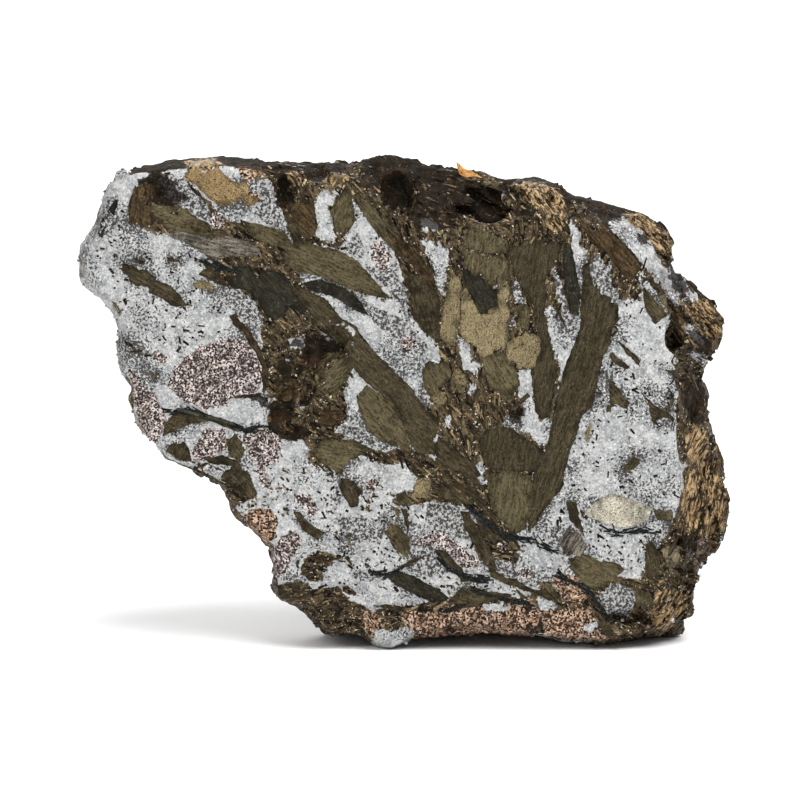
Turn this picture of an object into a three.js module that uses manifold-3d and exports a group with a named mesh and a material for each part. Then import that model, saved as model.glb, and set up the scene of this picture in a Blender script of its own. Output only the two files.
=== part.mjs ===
// A hand specimen of astrophyllite in rock: one block of stone, ground flat in front and broken rough
// everywhere else, standing on its lower edge. Millimetres, +Z up, the flat face looks along -Y.
import * as THREE from "three";
import { mergeVertices } from "three/addons/utils/BufferGeometryUtils.js";
import { ImprovedNoise } from "three/addons/math/ImprovedNoise.js";
import Module from "manifold-3d";

// Driving dimensions.
const DEPTH = 46; // from the ground face to the back
const LOOK_DOWN = THREE.MathUtils.degToRad(9); // the outline is seen from this far above the horizon
const CORE = new THREE.Vector2(6, 48); // a point on the axis that every section is drawn round: x, z
const FLOOR_SINK = 0.7; // how far the feet are drawn below the floor before they are cut flat
const KNOB_ROUGHNESS = 0.9; // share of the stone's roughness on a hollow
const FRACTURE_ROUGHNESS = 0.6; // share of the stone's roughness on a fracture
const STONE_COLOUR = 0x6f6a5c;

// Sections between the ground face and the back.
const BEVEL_STEPS = 3;
const WALL_STEPS = 9;
const BACK_SCALES = [0.8, 0.58, 0.34, 0.14];
const BACK_BULGE = 3.5;
const FOOT_STARTS = 9; // depth at which the underside starts down to the floor
const FOOT_ENDS = 20; // depth at which it has reached the floor

// Roughness of the broken surfaces: height and wavelength.
const COARSE = { height: 1.5, wave: 11 };
const FINE = { height: 0.6, wave: 4.3 };
const NOISE_START = new THREE.Vector3(7.3, 1.9, 4.1);
const BEVEL_CURVE = 1.2; // the broken edge curves back a little
const WALL_CURVE = 1.5; // the sides run straight back first and then close in

// The outline as seen from the front, clockwise from the top left, x and height. Each stretch has
// bevel: how far the ground face's edge lies inside the outline, set: how far the outline lies behind
// the ground face, and taper: how far the back edge lies inside the outline.
const OUTLINE = [
  { bevel: 2, set: 5, taper: 17, points: [[-58.6, 94], [-56.4, 95.8], [-53.4, 97]] },
  { bevel: 2.2, set: 6, taper: 15, points: [[-48, 97.4], [-43, 98.2], [-37.2, 98.6], [-32, 98.4]] },
  { bevel: 3, set: 7, taper: 14, points: [[-27.6, 97.4], [-23, 97.8], [-17.6, 96.8], [-13, 97.6]] },
  { bevel: 9, set: 10, taper: 13, points: [[-8, 98.2], [-5, 99]] },
  { bevel: 14, set: 12, taper: 13, points: [[-1.4, 99.2], [3, 98.4], [7.6, 96.8], [14, 96]] },
  { bevel: 9, set: 11, taper: 13, points: [[21, 95.2], [28, 94.6], [31.4, 93.6]] },
  { bevel: 4, set: 9, taper: 14, points: [[34.4, 91.6], [38.4, 90.6], [42.4, 89.2]] },
  { bevel: 7.5, set: 13, taper: 14, points: [[47.6, 88.4], [51, 86.6], [53.6, 84.2], [54.8, 81.4]] },
  { bevel: 6.5, set: 13, taper: 13, points: [[53.8, 79.2], [56, 76.2], [59, 73]] },
  { bevel: 9.5, set: 15, taper: 12, points: [[62.6, 69.6], [64.4, 66.2], [65.2, 62.8], [63.2, 60]] },
  { bevel: 5, set: 12, taper: 10, points: [[61, 57.4], [60.4, 55], [61.8, 52.4]] },
  { bevel: 9, set: 15, taper: 10, points: [[62.4, 47.4], [63.4, 41.8], [64.6, 36.8], [65.4, 32.6]] },
  { bevel: 12, set: 17, taper: 9, points: [[66.6, 29.4], [66.2, 25.2], [64.6, 21.2], [61.8, 18.2]] },
  { bevel: 7, set: 14, taper: 8, points: [[59.8, 14.6], [58.6, 12], [58.8, 10.2], [58, 7.2]] },
  { bevel: 3.5, set: 12, taper: 5, points: [[56.6, 4.6], [53.6, 3.2], [49.6, 3]], foot: true },
  { bevel: 1.5, set: 7, taper: 3, points: [[45.6, 1.8], [41.4, 1.2], [36, 1.8], [30, 2]], foot: true },
  { bevel: 1.5, set: 5, taper: 3, points: [[24, 2.8], [18, 3.8], [12, 3.8], [6, 3.2]], foot: true },
  { bevel: 0.8, set: 4, taper: 3, points: [[2.2, 2.6], [0, 0.8], [-1.8, 0], [-4.6, 0.4]], foot: true },
  { bevel: 2.5, set: 6, taper: 4, points: [[-6.8, 1.6], [-9, 3.2], [-12.4, 3.4], [-15.4, 3.4]], foot: true },
  { bevel: 2, set: 5, taper: 8, points: [[-18.4, 6.6], [-20.8, 8.6], [-24.2, 10.2], [-25.8, 12.4]] },
  { bevel: 1, set: 3, taper: 10, points: [[-25.2, 16], [-25.8, 20.6], [-28.8, 23.2]] },
  { bevel: 1, set: 3, taper: 12, points: [[-32, 26.6], [-33.8, 28.6], [-34.2, 31.4], [-36.4, 33.8]] },
  { bevel: 1, set: 3, taper: 15, points: [[-40.4, 36], [-45, 37.8], [-47.8, 39.2], [-48.6, 40.8]] },
  { bevel: 1, set: 3, taper: 17, points: [[-51.2, 42.8], [-52.8, 46], [-53.8, 50.4], [-54, 53.2]] },
  { bevel: 1.4, set: 4, taper: 19, points: [[-55.8, 55.8], [-56.2, 60], [-56.2, 64.4], [-57.8, 67.8]] },
  { bevel: 2, set: 5, taper: 21, points: [[-60.2, 70.8], [-63.6, 74], [-64.2, 76.4], [-64, 80.4]] },
  { bevel: 2, set: 5, taper: 20, points: [[-62.2, 84], [-60.4, 89]] },
];

// Fractures that took the corners off the back: a point on each and the way it faces.
const FRACTURES = [
  { at: [-40, 33, 72], facing: [-0.62, 0.68, 0.4] },
  { at: [40, 37, 70], facing: [0.42, 0.8, 0.42] },
  { at: [-30, 38, 36], facing: [-0.42, 0.72, -0.55] },
  { at: [54, 36, 30], facing: [0.72, 0.68, -0.12] },
  { at: [2, 40, 84], facing: [0.04, 0.5, 0.86] },
  { at: [-6, 45, 40], facing: [-0.16, 0.98, 0.1] },
];
const FRACTURE_BLOCK = 170;
const FRACTURE_CELLS = 30;

// Hollows where the surface broke away: centre, half sizes, turn about Y in degrees.
const HOLLOWS = [
  { at: [-20, -0.4, 57], size: [5, 4.2, 10.5], turn: 12 },
  { at: [-15, -0.8, 62.5], size: [5.2, 4.4, 3.8], turn: -24 },
  { at: [-21.5, -0.6, 47], size: [5, 3.4, 5], turn: 20 },
  { at: [-0.8, 4, 92.5], size: [4, 6.4, 5], turn: 0 },
  { at: [17, 5, 89.5], size: [7, 5.4, 4.4], turn: 10 },
  { at: [-47.5, -0.4, 92.4], size: [5, 2.8, 3], turn: 35 },
  { at: [-23, 0, 93.4], size: [2.2, 3.2, 3.8], turn: 0 },
  { at: [-17, -0.6, 17.5], size: [4.2, 4, 3.8], turn: 20 },
  { at: [-11.5, -0.6, 8.8], size: [6.2, 4.2, 4.8], turn: 38 },
  { at: [55, 2, 64], size: [2, 4.6, 4], turn: 6 },
  { at: [48, 0.5, 6.4], size: [6.4, 3.4, 1.8], turn: 4 },
  { at: [24, -0.6, 47.6], size: [2.2, 2, 2.2], turn: 0 },
];

// Sheaves of broken blades that stand out of the rim, the hollows and the back: the middle of the sheaf,
// the way its laths run, the way it faces, how many laths, and the length, width and thickness of a lath.
const SHEAVES = [
  { at: [47.9, 8.1, 79.9], along: [0.8, 0.1, -0.5], out: [0.45, -0.6, 0.7], laths: 5, size: [10, 2.6, 9] },
  { at: [57.2, 9.9, 65.4], along: [0.6, 0.25, -0.7], out: [0.7, -0.6, 0.4], laths: 7, size: [15, 2.2, 10] },
  { at: [56.8, 8.9, 43], along: [0.2, 0.3, -0.93], out: [0.75, -0.62, 0], laths: 5, size: [13, 2.2, 8] },
  { at: [57.8, 10.7, 28.6], along: [0.2, -0.1, -1], out: [0.72, -0.7, 0.1], laths: 7, size: [14, 2.3, 10] },
  { at: [53.4, 9, 9.8], along: [0.3, 0.2, 0.93], out: [0.7, -0.66, -0.1], laths: 4, size: [9, 2.6, 8] },
  { at: [26.9, 6.4, 88.6], along: [0.94, 0.1, -0.3], out: [0.05, -0.72, 0.7], laths: 4, size: [12, 2.6, 6] },
  { at: [8.4, 6.5, 88.4], along: [0.95, 0.05, -0.2], out: [0.05, -0.7, 0.72], laths: 3, size: [10, 2.4, 5] },
  { at: [-12, 3, 8.5], along: [0.78, -0.05, -0.62], out: [-0.1, -1, 0.05], laths: 4, size: [9, 1.9, 4] },
  { at: [-17.4, 2.6, 17], along: [0.9, 0, 0.4], out: [0, -1, 0.1], laths: 3, size: [6, 1.6, 3] },
  { at: [-20.5, 3.2, 56], along: [0.25, 0, 0.97], out: [0.1, -1, 0], laths: 4, size: [13, 1.9, 4] },
  { at: [-18, 37.6, 62], along: [0.7, -0.35, 0.62], out: [-0.4, 0.85, 0.3], laths: 6, size: [26, 3.4, 9] },
  { at: [10, 43, 44], along: [-0.3, 0, 0.95], out: [0.02, 1, 0.05], laths: 7, size: [30, 3.2, 7] },
  { at: [34, 44.8, 52], along: [0.8, -0.3, 0.52], out: [0.4, 0.85, 0.2], laths: 5, size: [22, 3.2, 8] },
  { at: [28, 44, 22], along: [0.86, -0.25, -0.44], out: [0.3, 0.95, 0], laths: 5, size: [20, 3, 8] },
  { at: [-24, 39.4, 40], along: [-0.7, -0.3, 0.64], out: [-0.45, 0.8, -0.35], laths: 5, size: [20, 3, 8] },
  { at: [6, 33.4, 85.6], along: [0.96, 0, 0.1], out: [0.05, 0.5, 0.86], laths: 5, size: [24, 3, 6] },
];
const LATH_STAGGER = 0.22; // share of a lath's length by which neighbours are pushed past each other
const LATH_STEP = 0.7; // neighbours stand this far above or below each other, along the way they face
const LATH_PITCH = 0.86; // share of a lath's width from one lath to the next
const LATH_TURN = 0.06; // neighbours are turned by up to this many radians
const LATH_SHORTER = 0.3; // the shortest lath of a sheaf is this much shorter than the longest

const wasm = await Module();
wasm.setup();
const perlin = new ImprovedNoise();

// Rough stone: two octaves of noise at a point, in millimetres.
function roughness(p) {
  const octave = ({ height, wave }) => {
    const q = p.clone().divideScalar(wave).add(NOISE_START);
    return height * perlin.noise(q.x, q.y, q.z);
  };
  return octave(COARSE) + octave(FINE);
}

// A closed geometry as a solid that can be joined and cut.
function solidOf(geometry) {
  geometry.deleteAttribute("normal");
  geometry.deleteAttribute("uv");
  const merged = mergeVertices(geometry, 1e-4);
  return new wasm.Manifold(
    new wasm.Mesh({
      numProp: 3,
      vertProperties: new Float32Array(merged.attributes.position.array),
      triVerts: new Uint32Array(merged.index.array),
    }),
  );
}

// A solid as a geometry to draw.
function geometryOf(solid) {
  const mesh = solid.getMesh();
  const geometry = new THREE.BufferGeometry();
  geometry.setAttribute("position", new THREE.BufferAttribute(mesh.vertProperties, 3));
  geometry.setIndex(new THREE.BufferAttribute(mesh.triVerts, 1));
  geometry.computeVertexNormals();
  return geometry;
}

// One stretch value for every outline point, evened out so that stretches run into each other.
function evened(key) {
  const values = OUTLINE.flatMap((stretch) => stretch.points.map(() => stretch[key]));
  const at = (i) => values[(i + values.length) % values.length];
  return values.map((value, i) => (at(i - 2) + 2 * at(i - 1) + 3 * value + 2 * at(i + 1) + at(i + 2)) / 9);
}

// A point of the outline moved towards the core by some millimetres.
function inwards([x, z], distance) {
  const point = new THREE.Vector2(x, z);
  return point.add(CORE.clone().sub(point).setLength(distance));
}

// The closed sections of the block, front to back: rings of points, one for each outline point.
function sections() {
  const points = OUTLINE.flatMap((stretch) => stretch.points);
  const feet = OUTLINE.flatMap((stretch) => stretch.points.map(() => Boolean(stretch.foot)));
  const bevel = evened("bevel");
  const set = evened("set");
  const taper = evened("taper");
  const upright = (seen, depth) => seen / Math.cos(LOOK_DOWN) - depth * Math.tan(LOOK_DOWN);
  const rings = [];
  for (let step = 0; step <= BEVEL_STEPS; step++) {
    const share = step / BEVEL_STEPS;
    rings.push(
      points.map((point, i) => {
        const seen = inwards(point, bevel[i] * (1 - share));
        const depth = set[i] * share ** BEVEL_CURVE;
        return new THREE.Vector3(seen.x, depth, upright(seen.y, depth));
      }),
    );
  }
  const rim = rings[BEVEL_STEPS];
  for (let step = 1; step <= WALL_STEPS; step++) {
    const share = step / WALL_STEPS;
    rings.push(
      rim.map((edge, i) => {
        const depth = THREE.MathUtils.lerp(edge.y, DEPTH, share);
        const moved = inwards([edge.x, edge.z], taper[i] * share ** WALL_CURVE);
        const foot = feet[i] ? THREE.MathUtils.smoothstep(depth, FOOT_STARTS, FOOT_ENDS) : 0;
        return new THREE.Vector3(moved.x, depth, THREE.MathUtils.lerp(moved.y, -FLOOR_SINK, foot));
      }),
    );
  }
  const back = rings[rings.length - 1];
  for (const scale of BACK_SCALES) {
    rings.push(
      back.map((edge) => {
        const x = THREE.MathUtils.lerp(CORE.x, edge.x, scale);
        const z = THREE.MathUtils.lerp(CORE.y, edge.z, scale);
        return new THREE.Vector3(x, DEPTH + BACK_BULGE * (1 - scale ** 2), z);
      }),
    );
  }
  return rings;
}

// Every broken point is pushed out or in by the roughness; the ground face keeps its plane.
function roughen(rings) {
  const middle = new THREE.Vector3(CORE.x, DEPTH / 2, CORE.y);
  for (let ring = 1; ring < rings.length; ring++) {
    const share = Math.min(1, ring / (BEVEL_STEPS + 2));
    for (const point of rings[ring]) {
      const out = point.clone().sub(middle).normalize();
      point.addScaledVector(out, share * roughness(point));
    }
  }
}

// Rings of equal count as one closed surface: a flat cap in front, a pole at the back.
function loft(rings) {
  const count = rings[0].length;
  const vertices = rings.flat();
  const pole = vertices.length;
  const last = (rings.length - 1) * count;
  vertices.push(new THREE.Vector3(CORE.x, DEPTH + BACK_BULGE, CORE.y));
  const index = [];
  for (let ring = 0; ring + 1 < rings.length; ring++) {
    for (let i = 0; i < count; i++) {
      const a = ring * count + i;
      const b = ring * count + ((i + 1) % count);
      index.push(a, b, a + count, b, b + count, a + count);
    }
  }
  for (let i = 0; i < count; i++) index.push(last + i, last + ((i + 1) % count), pole);
  const face = rings[0].map((p) => new THREE.Vector2(p.x, p.z));
  for (const [a, b, c] of THREE.ShapeUtils.triangulateShape(face, [])) {
    const facesOut = THREE.ShapeUtils.area([face[a], face[b], face[c]]) > 0;
    if (facesOut) index.push(a, b, c);
    else index.push(a, c, b);
  }
  const geometry = new THREE.BufferGeometry().setFromPoints(vertices);
  geometry.setIndex(index);
  return geometry;
}

// A block whose near face is a rough plane through a point; what it covers is split off.
function fracture({ at, facing }) {
  const cells = FRACTURE_CELLS;
  const block = new THREE.BoxGeometry(FRACTURE_BLOCK, FRACTURE_BLOCK, DEPTH, cells, cells, 1);
  const normal = new THREE.Vector3(...facing).normalize();
  const turn = new THREE.Quaternion().setFromUnitVectors(new THREE.Vector3(0, 0, 1), normal);
  const centre = new THREE.Vector3(...at).addScaledVector(normal, DEPTH / 2);
  const position = block.attributes.position;
  for (let i = 0; i < position.count; i++) {
    const near = position.getZ(i) < 0;
    const p = new THREE.Vector3().fromBufferAttribute(position, i).applyQuaternion(turn).add(centre);
    if (near) p.addScaledVector(normal, FRACTURE_ROUGHNESS * roughness(p));
    position.setXYZ(i, p.x, p.y, p.z);
  }
  return solidOf(block);
}

// A knobbly, angular ball with half sizes along X, Y and Z, for the hollows.
function knob({ at, size, turn }) {
  const ball = new THREE.IcosahedronGeometry(1, 1);
  ball.scale(...size).rotateY(THREE.MathUtils.degToRad(turn));
  const position = ball.attributes.position;
  const centre = new THREE.Vector3(...at);
  for (let i = 0; i < position.count; i++) {
    const p = new THREE.Vector3().fromBufferAttribute(position, i).add(centre);
    p.addScaledVector(p.clone().sub(centre).normalize(), KNOB_ROUGHNESS * roughness(p));
    position.setXYZ(i, p.x, p.y, p.z);
  }
  return solidOf(ball);
}

// One lath of a sheaf: a flat blade with splintered ends, its length along X and its flat faces up and down.
function lath(length, width, thickness) {
  const half = length / 2;
  const side = width / 2;
  const outline = new THREE.Shape([
    new THREE.Vector2(-half, -0.3 * side),
    new THREE.Vector2(-0.86 * half, -side),
    new THREE.Vector2(0.9 * half, -0.92 * side),
    new THREE.Vector2(half, 0.1 * side),
    new THREE.Vector2(0.8 * half, side),
    new THREE.Vector2(-0.92 * half, 0.94 * side),
  ]);
  const blade = new THREE.ExtrudeGeometry(outline, { depth: thickness, bevelEnabled: false });
  return blade.translate(0, 0, -thickness / 2);
}

// The laths of one sheaf, side by side, each pushed along and out a little differently.
function sheaf({ at, along, out, laths, size }) {
  const [length, width, thickness] = size;
  const run = new THREE.Vector3(...along).normalize();
  const across = new THREE.Vector3(...out).cross(run).normalize();
  const facing = run.clone().cross(across);
  const frame = new THREE.Matrix4().makeBasis(run, across, facing).setPosition(...at);
  const blades = [];
  for (let i = 0; i < laths; i++) {
    const short = LATH_SHORTER * Math.abs(Math.sin(5 * i));
    const blade = lath(length * (1 - short), width, thickness);
    blade.rotateZ(LATH_TURN * Math.sin(4 * i + length));
    const push = LATH_STAGGER * length * Math.sin(2.4 * i + width);
    const rise = LATH_STEP * Math.sin(3.7 * i + thickness);
    blade.translate(push, (i - (laths - 1) / 2) * LATH_PITCH * width, rise);
    blades.push(solidOf(blade.applyMatrix4(frame)));
  }
  return blades;
}

// The ground that the block stands on; whatever is below it is cut off flat.
function ground() {
  const slab = new THREE.BoxGeometry(2 * FRACTURE_BLOCK, 2 * FRACTURE_BLOCK, DEPTH);
  slab.translate(0, 0, -DEPTH / 2);
  return solidOf(slab);
}

// The outline carried back along the line of sight; nothing of the rock shows outside it from the front.
function sightline() {
  const seen = OUTLINE.flatMap((stretch) => stretch.points.map(([x, z]) => new THREE.Vector2(x, z)));
  const prism = new THREE.ExtrudeGeometry(new THREE.Shape(seen), { depth: 2 * DEPTH, bevelEnabled: false });
  prism.rotateX(Math.PI / 2);
  const position = prism.attributes.position;
  for (let i = 0; i < position.count; i++) {
    const depth = position.getY(i) + 1.5 * DEPTH;
    const height = position.getZ(i) / Math.cos(LOOK_DOWN) - depth * Math.tan(LOOK_DOWN);
    position.setXYZ(i, position.getX(i), depth, height);
  }
  return solidOf(prism);
}

// What lies in front of the ground face's plane; the wheel took it off.
function ahead() {
  const slab = new THREE.BoxGeometry(2 * FRACTURE_BLOCK, DEPTH, 2 * FRACTURE_BLOCK);
  slab.translate(0, -DEPTH / 2, 0);
  return solidOf(slab);
}

function block() {
  const rings = sections();
  roughen(rings);
  let rock = solidOf(loft(rings));
  for (const split of FRACTURES) rock = rock.subtract(fracture(split));
  for (const hollow of HOLLOWS) rock = rock.subtract(knob(hollow));
  const seen = sightline();
  for (const blade of SHEAVES.flatMap(sheaf)) rock = rock.add(blade.intersect(seen));
  return rock.subtract(ahead()).subtract(ground());
}

const geometry = geometryOf(block());
geometry.computeBoundingBox();
const box = geometry.boundingBox;
geometry.translate(-(box.min.x + box.max.x) / 2, -(box.min.y + box.max.y) / 2, -box.min.z);

const stone = new THREE.MeshStandardMaterial({ color: STONE_COLOUR, roughness: 0.75, metalness: 0.1 });
const specimen = new THREE.Group();
const rock = new THREE.Mesh(geometry, stone);
rock.name = "specimen";
specimen.add(rock);

export default specimen;
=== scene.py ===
import math
import random

import bpy
import numpy as np
from bpy.props import FloatProperty, FloatVectorProperty, IntProperty, PointerProperty
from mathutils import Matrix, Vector, noise
from mathutils.bvhtree import BVHTree


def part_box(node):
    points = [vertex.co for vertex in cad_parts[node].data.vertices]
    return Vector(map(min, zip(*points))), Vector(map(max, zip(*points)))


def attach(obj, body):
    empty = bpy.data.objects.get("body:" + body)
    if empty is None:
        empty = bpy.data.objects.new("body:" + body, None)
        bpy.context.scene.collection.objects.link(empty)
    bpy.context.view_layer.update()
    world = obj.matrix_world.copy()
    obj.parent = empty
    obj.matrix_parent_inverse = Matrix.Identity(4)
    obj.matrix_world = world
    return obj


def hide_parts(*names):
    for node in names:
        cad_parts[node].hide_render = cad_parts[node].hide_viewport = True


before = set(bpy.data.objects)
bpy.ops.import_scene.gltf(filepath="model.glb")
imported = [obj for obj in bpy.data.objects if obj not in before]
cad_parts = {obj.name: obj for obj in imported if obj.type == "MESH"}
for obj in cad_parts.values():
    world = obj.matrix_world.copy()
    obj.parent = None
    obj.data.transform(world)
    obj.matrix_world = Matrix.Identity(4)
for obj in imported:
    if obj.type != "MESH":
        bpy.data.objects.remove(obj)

bl_info = {
    "name": "Astrophyllite specimen",
    "version": (1, 0, 0),
    "blender": (4, 5, 0),
    "location": "View3D > Sidebar > Specimen",
    "description": "Dresses a standing rock specimen: ground face with bronze blades, broken rim and back",
    "category": "Object",
}

NODE = "specimen"
MM = 0.001
LOW = Vector(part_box(NODE)[0])

# How the outlines below were read: a view from a little above the horizon, at this many picture points
# to the millimetre, with the middle of the specimen and the floor at these picture points.
POINTS_PER_MM = 5.0
LOOK_DOWN = math.radians(9)
MIDDLE_X = 405.4
FLOOR_Y = 652.0
PICTURE_SIZE = 800
SIGHT = Vector((0.0, math.cos(LOOK_DOWN), -math.sin(LOOK_DOWN)))
STAND_OFF = 0.1  # how far in front of the ground face a line of sight starts
FAR_OUTSIDE = -20.0  # depth in millimetres given to places far outside every outline
NOT_HERE = -5  # depth in millimetres given to places where a kind of stone does not occur

# The blades of the ground face spread like a fan round this picture point.
FAN_CENTRE = np.array((528.0, 560.0))
FAN_RADIUS = 40  # millimetres from the centre at which the grain keeps its true width

# Broken surfaces: heights and sizes of the roughness, and sizes of its patches.
CRUMBLE = 0.34 * MM
CRUMBLE_SIZE = 2.6 * MM
SWELL = 0.7 * MM
SWELL_SIZE = 7 * MM
BED_WANDER = 5 * MM
BLADED_PATCH = 17 * MM
RUN_PATCH = 13 * MM
RUN_WANDER = 9 * MM
RUN_STARTS = (Vector((9.3, 0, 0)), Vector((0, 17.7, 0)), Vector((0, 0, 31.1)))
BLUSH_SIZE = 9 * MM
BLUSH_START = Vector((5, 3, 1))
TURNED_AWAY = 0.15  # a surface that faces the viewer less than this has its own patches of blades
GROUND_SKIN = 0.25  # millimetres behind the ground face that still belong to it
HOLLOW_REACH = 6  # millimetres down to which a shallow hollow is filled
LEFT_HOLLOW = 0.3  # share of its depth that a shallow hollow keeps
SHARP_ANGLE = math.radians(38)

# Large blades. Lengths with no unit are in picture points.
LATH_THICKNESS = 0.5 * MM
ROUGH_LIFT = 0.4 * MM  # how much further blades stand out where the stone is broken
EDGE_STEP = 2.6
EDGE_JITTER = 0.7
FIRST_CROSS_CUT = 3
CROSS_CUTS = 1.5 * POINTS_PER_MM
FULL_PULL = 30  # length from which a lath's ends are pulled out or in all the way
MIDDLE_TONE = 0.42
GRAIN_RANGE = 400  # millimetres of grain among which each lath has its own place

# Small laths, needles and crumbs.
BROWN_LATHS = 2600
BUSY_LATHS = 1200
OPEN_LATHS = 500
REAR_LATHS = 1900
POINTS_PER_RIM_LATH = 40  # square picture points for each lath of the rim
RIM_LATH_THICKNESS = 1.0 * MM
DARK_LATH = -0.3
WHOLE_EDGE = 2.0  # depth in millimetres past which a blade's edge does not crumble
POINTS_PER_NEEDLE = 1.6
CRUMBS = 1400
PINK_CRUMB = (0.42, 0.29, 0.25, 1)
PALE_CRUMBS = (
    (0.6, 0.62, 0.65, 1),
    (0.5, 0.52, 0.55, 1),
    (0.68, 0.68, 0.68, 1),
    (0.2, 0.17, 0.14, 1),
)
AMBER_DEPTH = (0.2 * MM, 0.9 * MM, -0.2 * MM)

# Materials: relief, painted glints and the tones of the blades.
RELIEF = 0.25 * MM
PAINTED_GLINT = (0.5, 0.45, 0.36, 1)
# The tones are partly the blades' own colours and partly painted light: gold, pale and silky paint the
# sheen of blades whose cleavage catches the light, the darker tones the shade of blades that mirror the
# dark side of the room.
TONES = {
    "dark": dict(dark=(0.03, 0.0235, 0.0125, 1), light=(0.078, 0.062, 0.034, 1), metal=0.7, gloss=0.36),
    "brown": dict(dark=(0.024, 0.0155, 0.0075, 1), light=(0.088, 0.058, 0.028, 1), metal=0.7, gloss=0.38),
    "olive": dict(dark=(0.048, 0.039, 0.02, 1), light=(0.125, 0.102, 0.055, 1), metal=0.75, gloss=0.34),
    "gold": dict(
        dark=(0.12, 0.094, 0.049, 1), light=(0.285, 0.232, 0.13, 1), metal=0.75, gloss=0.36, foil=0.85
    ),
    "amber": dict(
        dark=(0.12, 0.077, 0.032, 1), light=(0.36, 0.258, 0.13, 1), metal=0.65, gloss=0.36, foil=0.8
    ),
    "green": dict(dark=(0.0135, 0.0125, 0.008, 1), light=(0.034, 0.031, 0.02, 1), metal=0.6, gloss=0.34),
    "silky": dict(dark=(0.045, 0.038, 0.028, 1), light=(0.23, 0.205, 0.165, 1), metal=0.6, gloss=0.32),
    "pale": dict(
        dark=(0.27, 0.245, 0.185, 1), light=(0.6, 0.56, 0.455, 1), metal=0.6, gloss=0.32, foil=0.9
    ),
}
SPLINTER_TONE = dict(dark=(0.026, 0.018, 0.009, 1), light=(0.1, 0.074, 0.04, 1), metal=0.7, gloss=0.34)
HONEY_TONE = dict(dark=(0.3, 0.13, 0.035, 1), light=(0.62, 0.32, 0.1, 1), metal=0.1, gloss=0.35)

# How shader nodes are set out in the node editor.
COLUMN_WIDTH = 180
ROW_HEIGHT = 160
NODE_ROWS = 5

# The stage, in metres: each lamp's name, place, target, size and share of the lamp power.
FLOOR_SIZE = 12
CAMERA_DISTANCE = 2.0
LAMPS = (
    ("overhead", (0.3, -0.35, 0.9), (0.0, 0.0, 0.04), 0.8, 1.0),
    ("left front", (-0.7, -0.9, 0.9), (0.0, 0.0, 0.04), 0.4, 0.3),
    ("behind", (0.0, 1.9, 1.3), (0.0, 1.6, 0.0), 1.4, 2.2),
)

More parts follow.
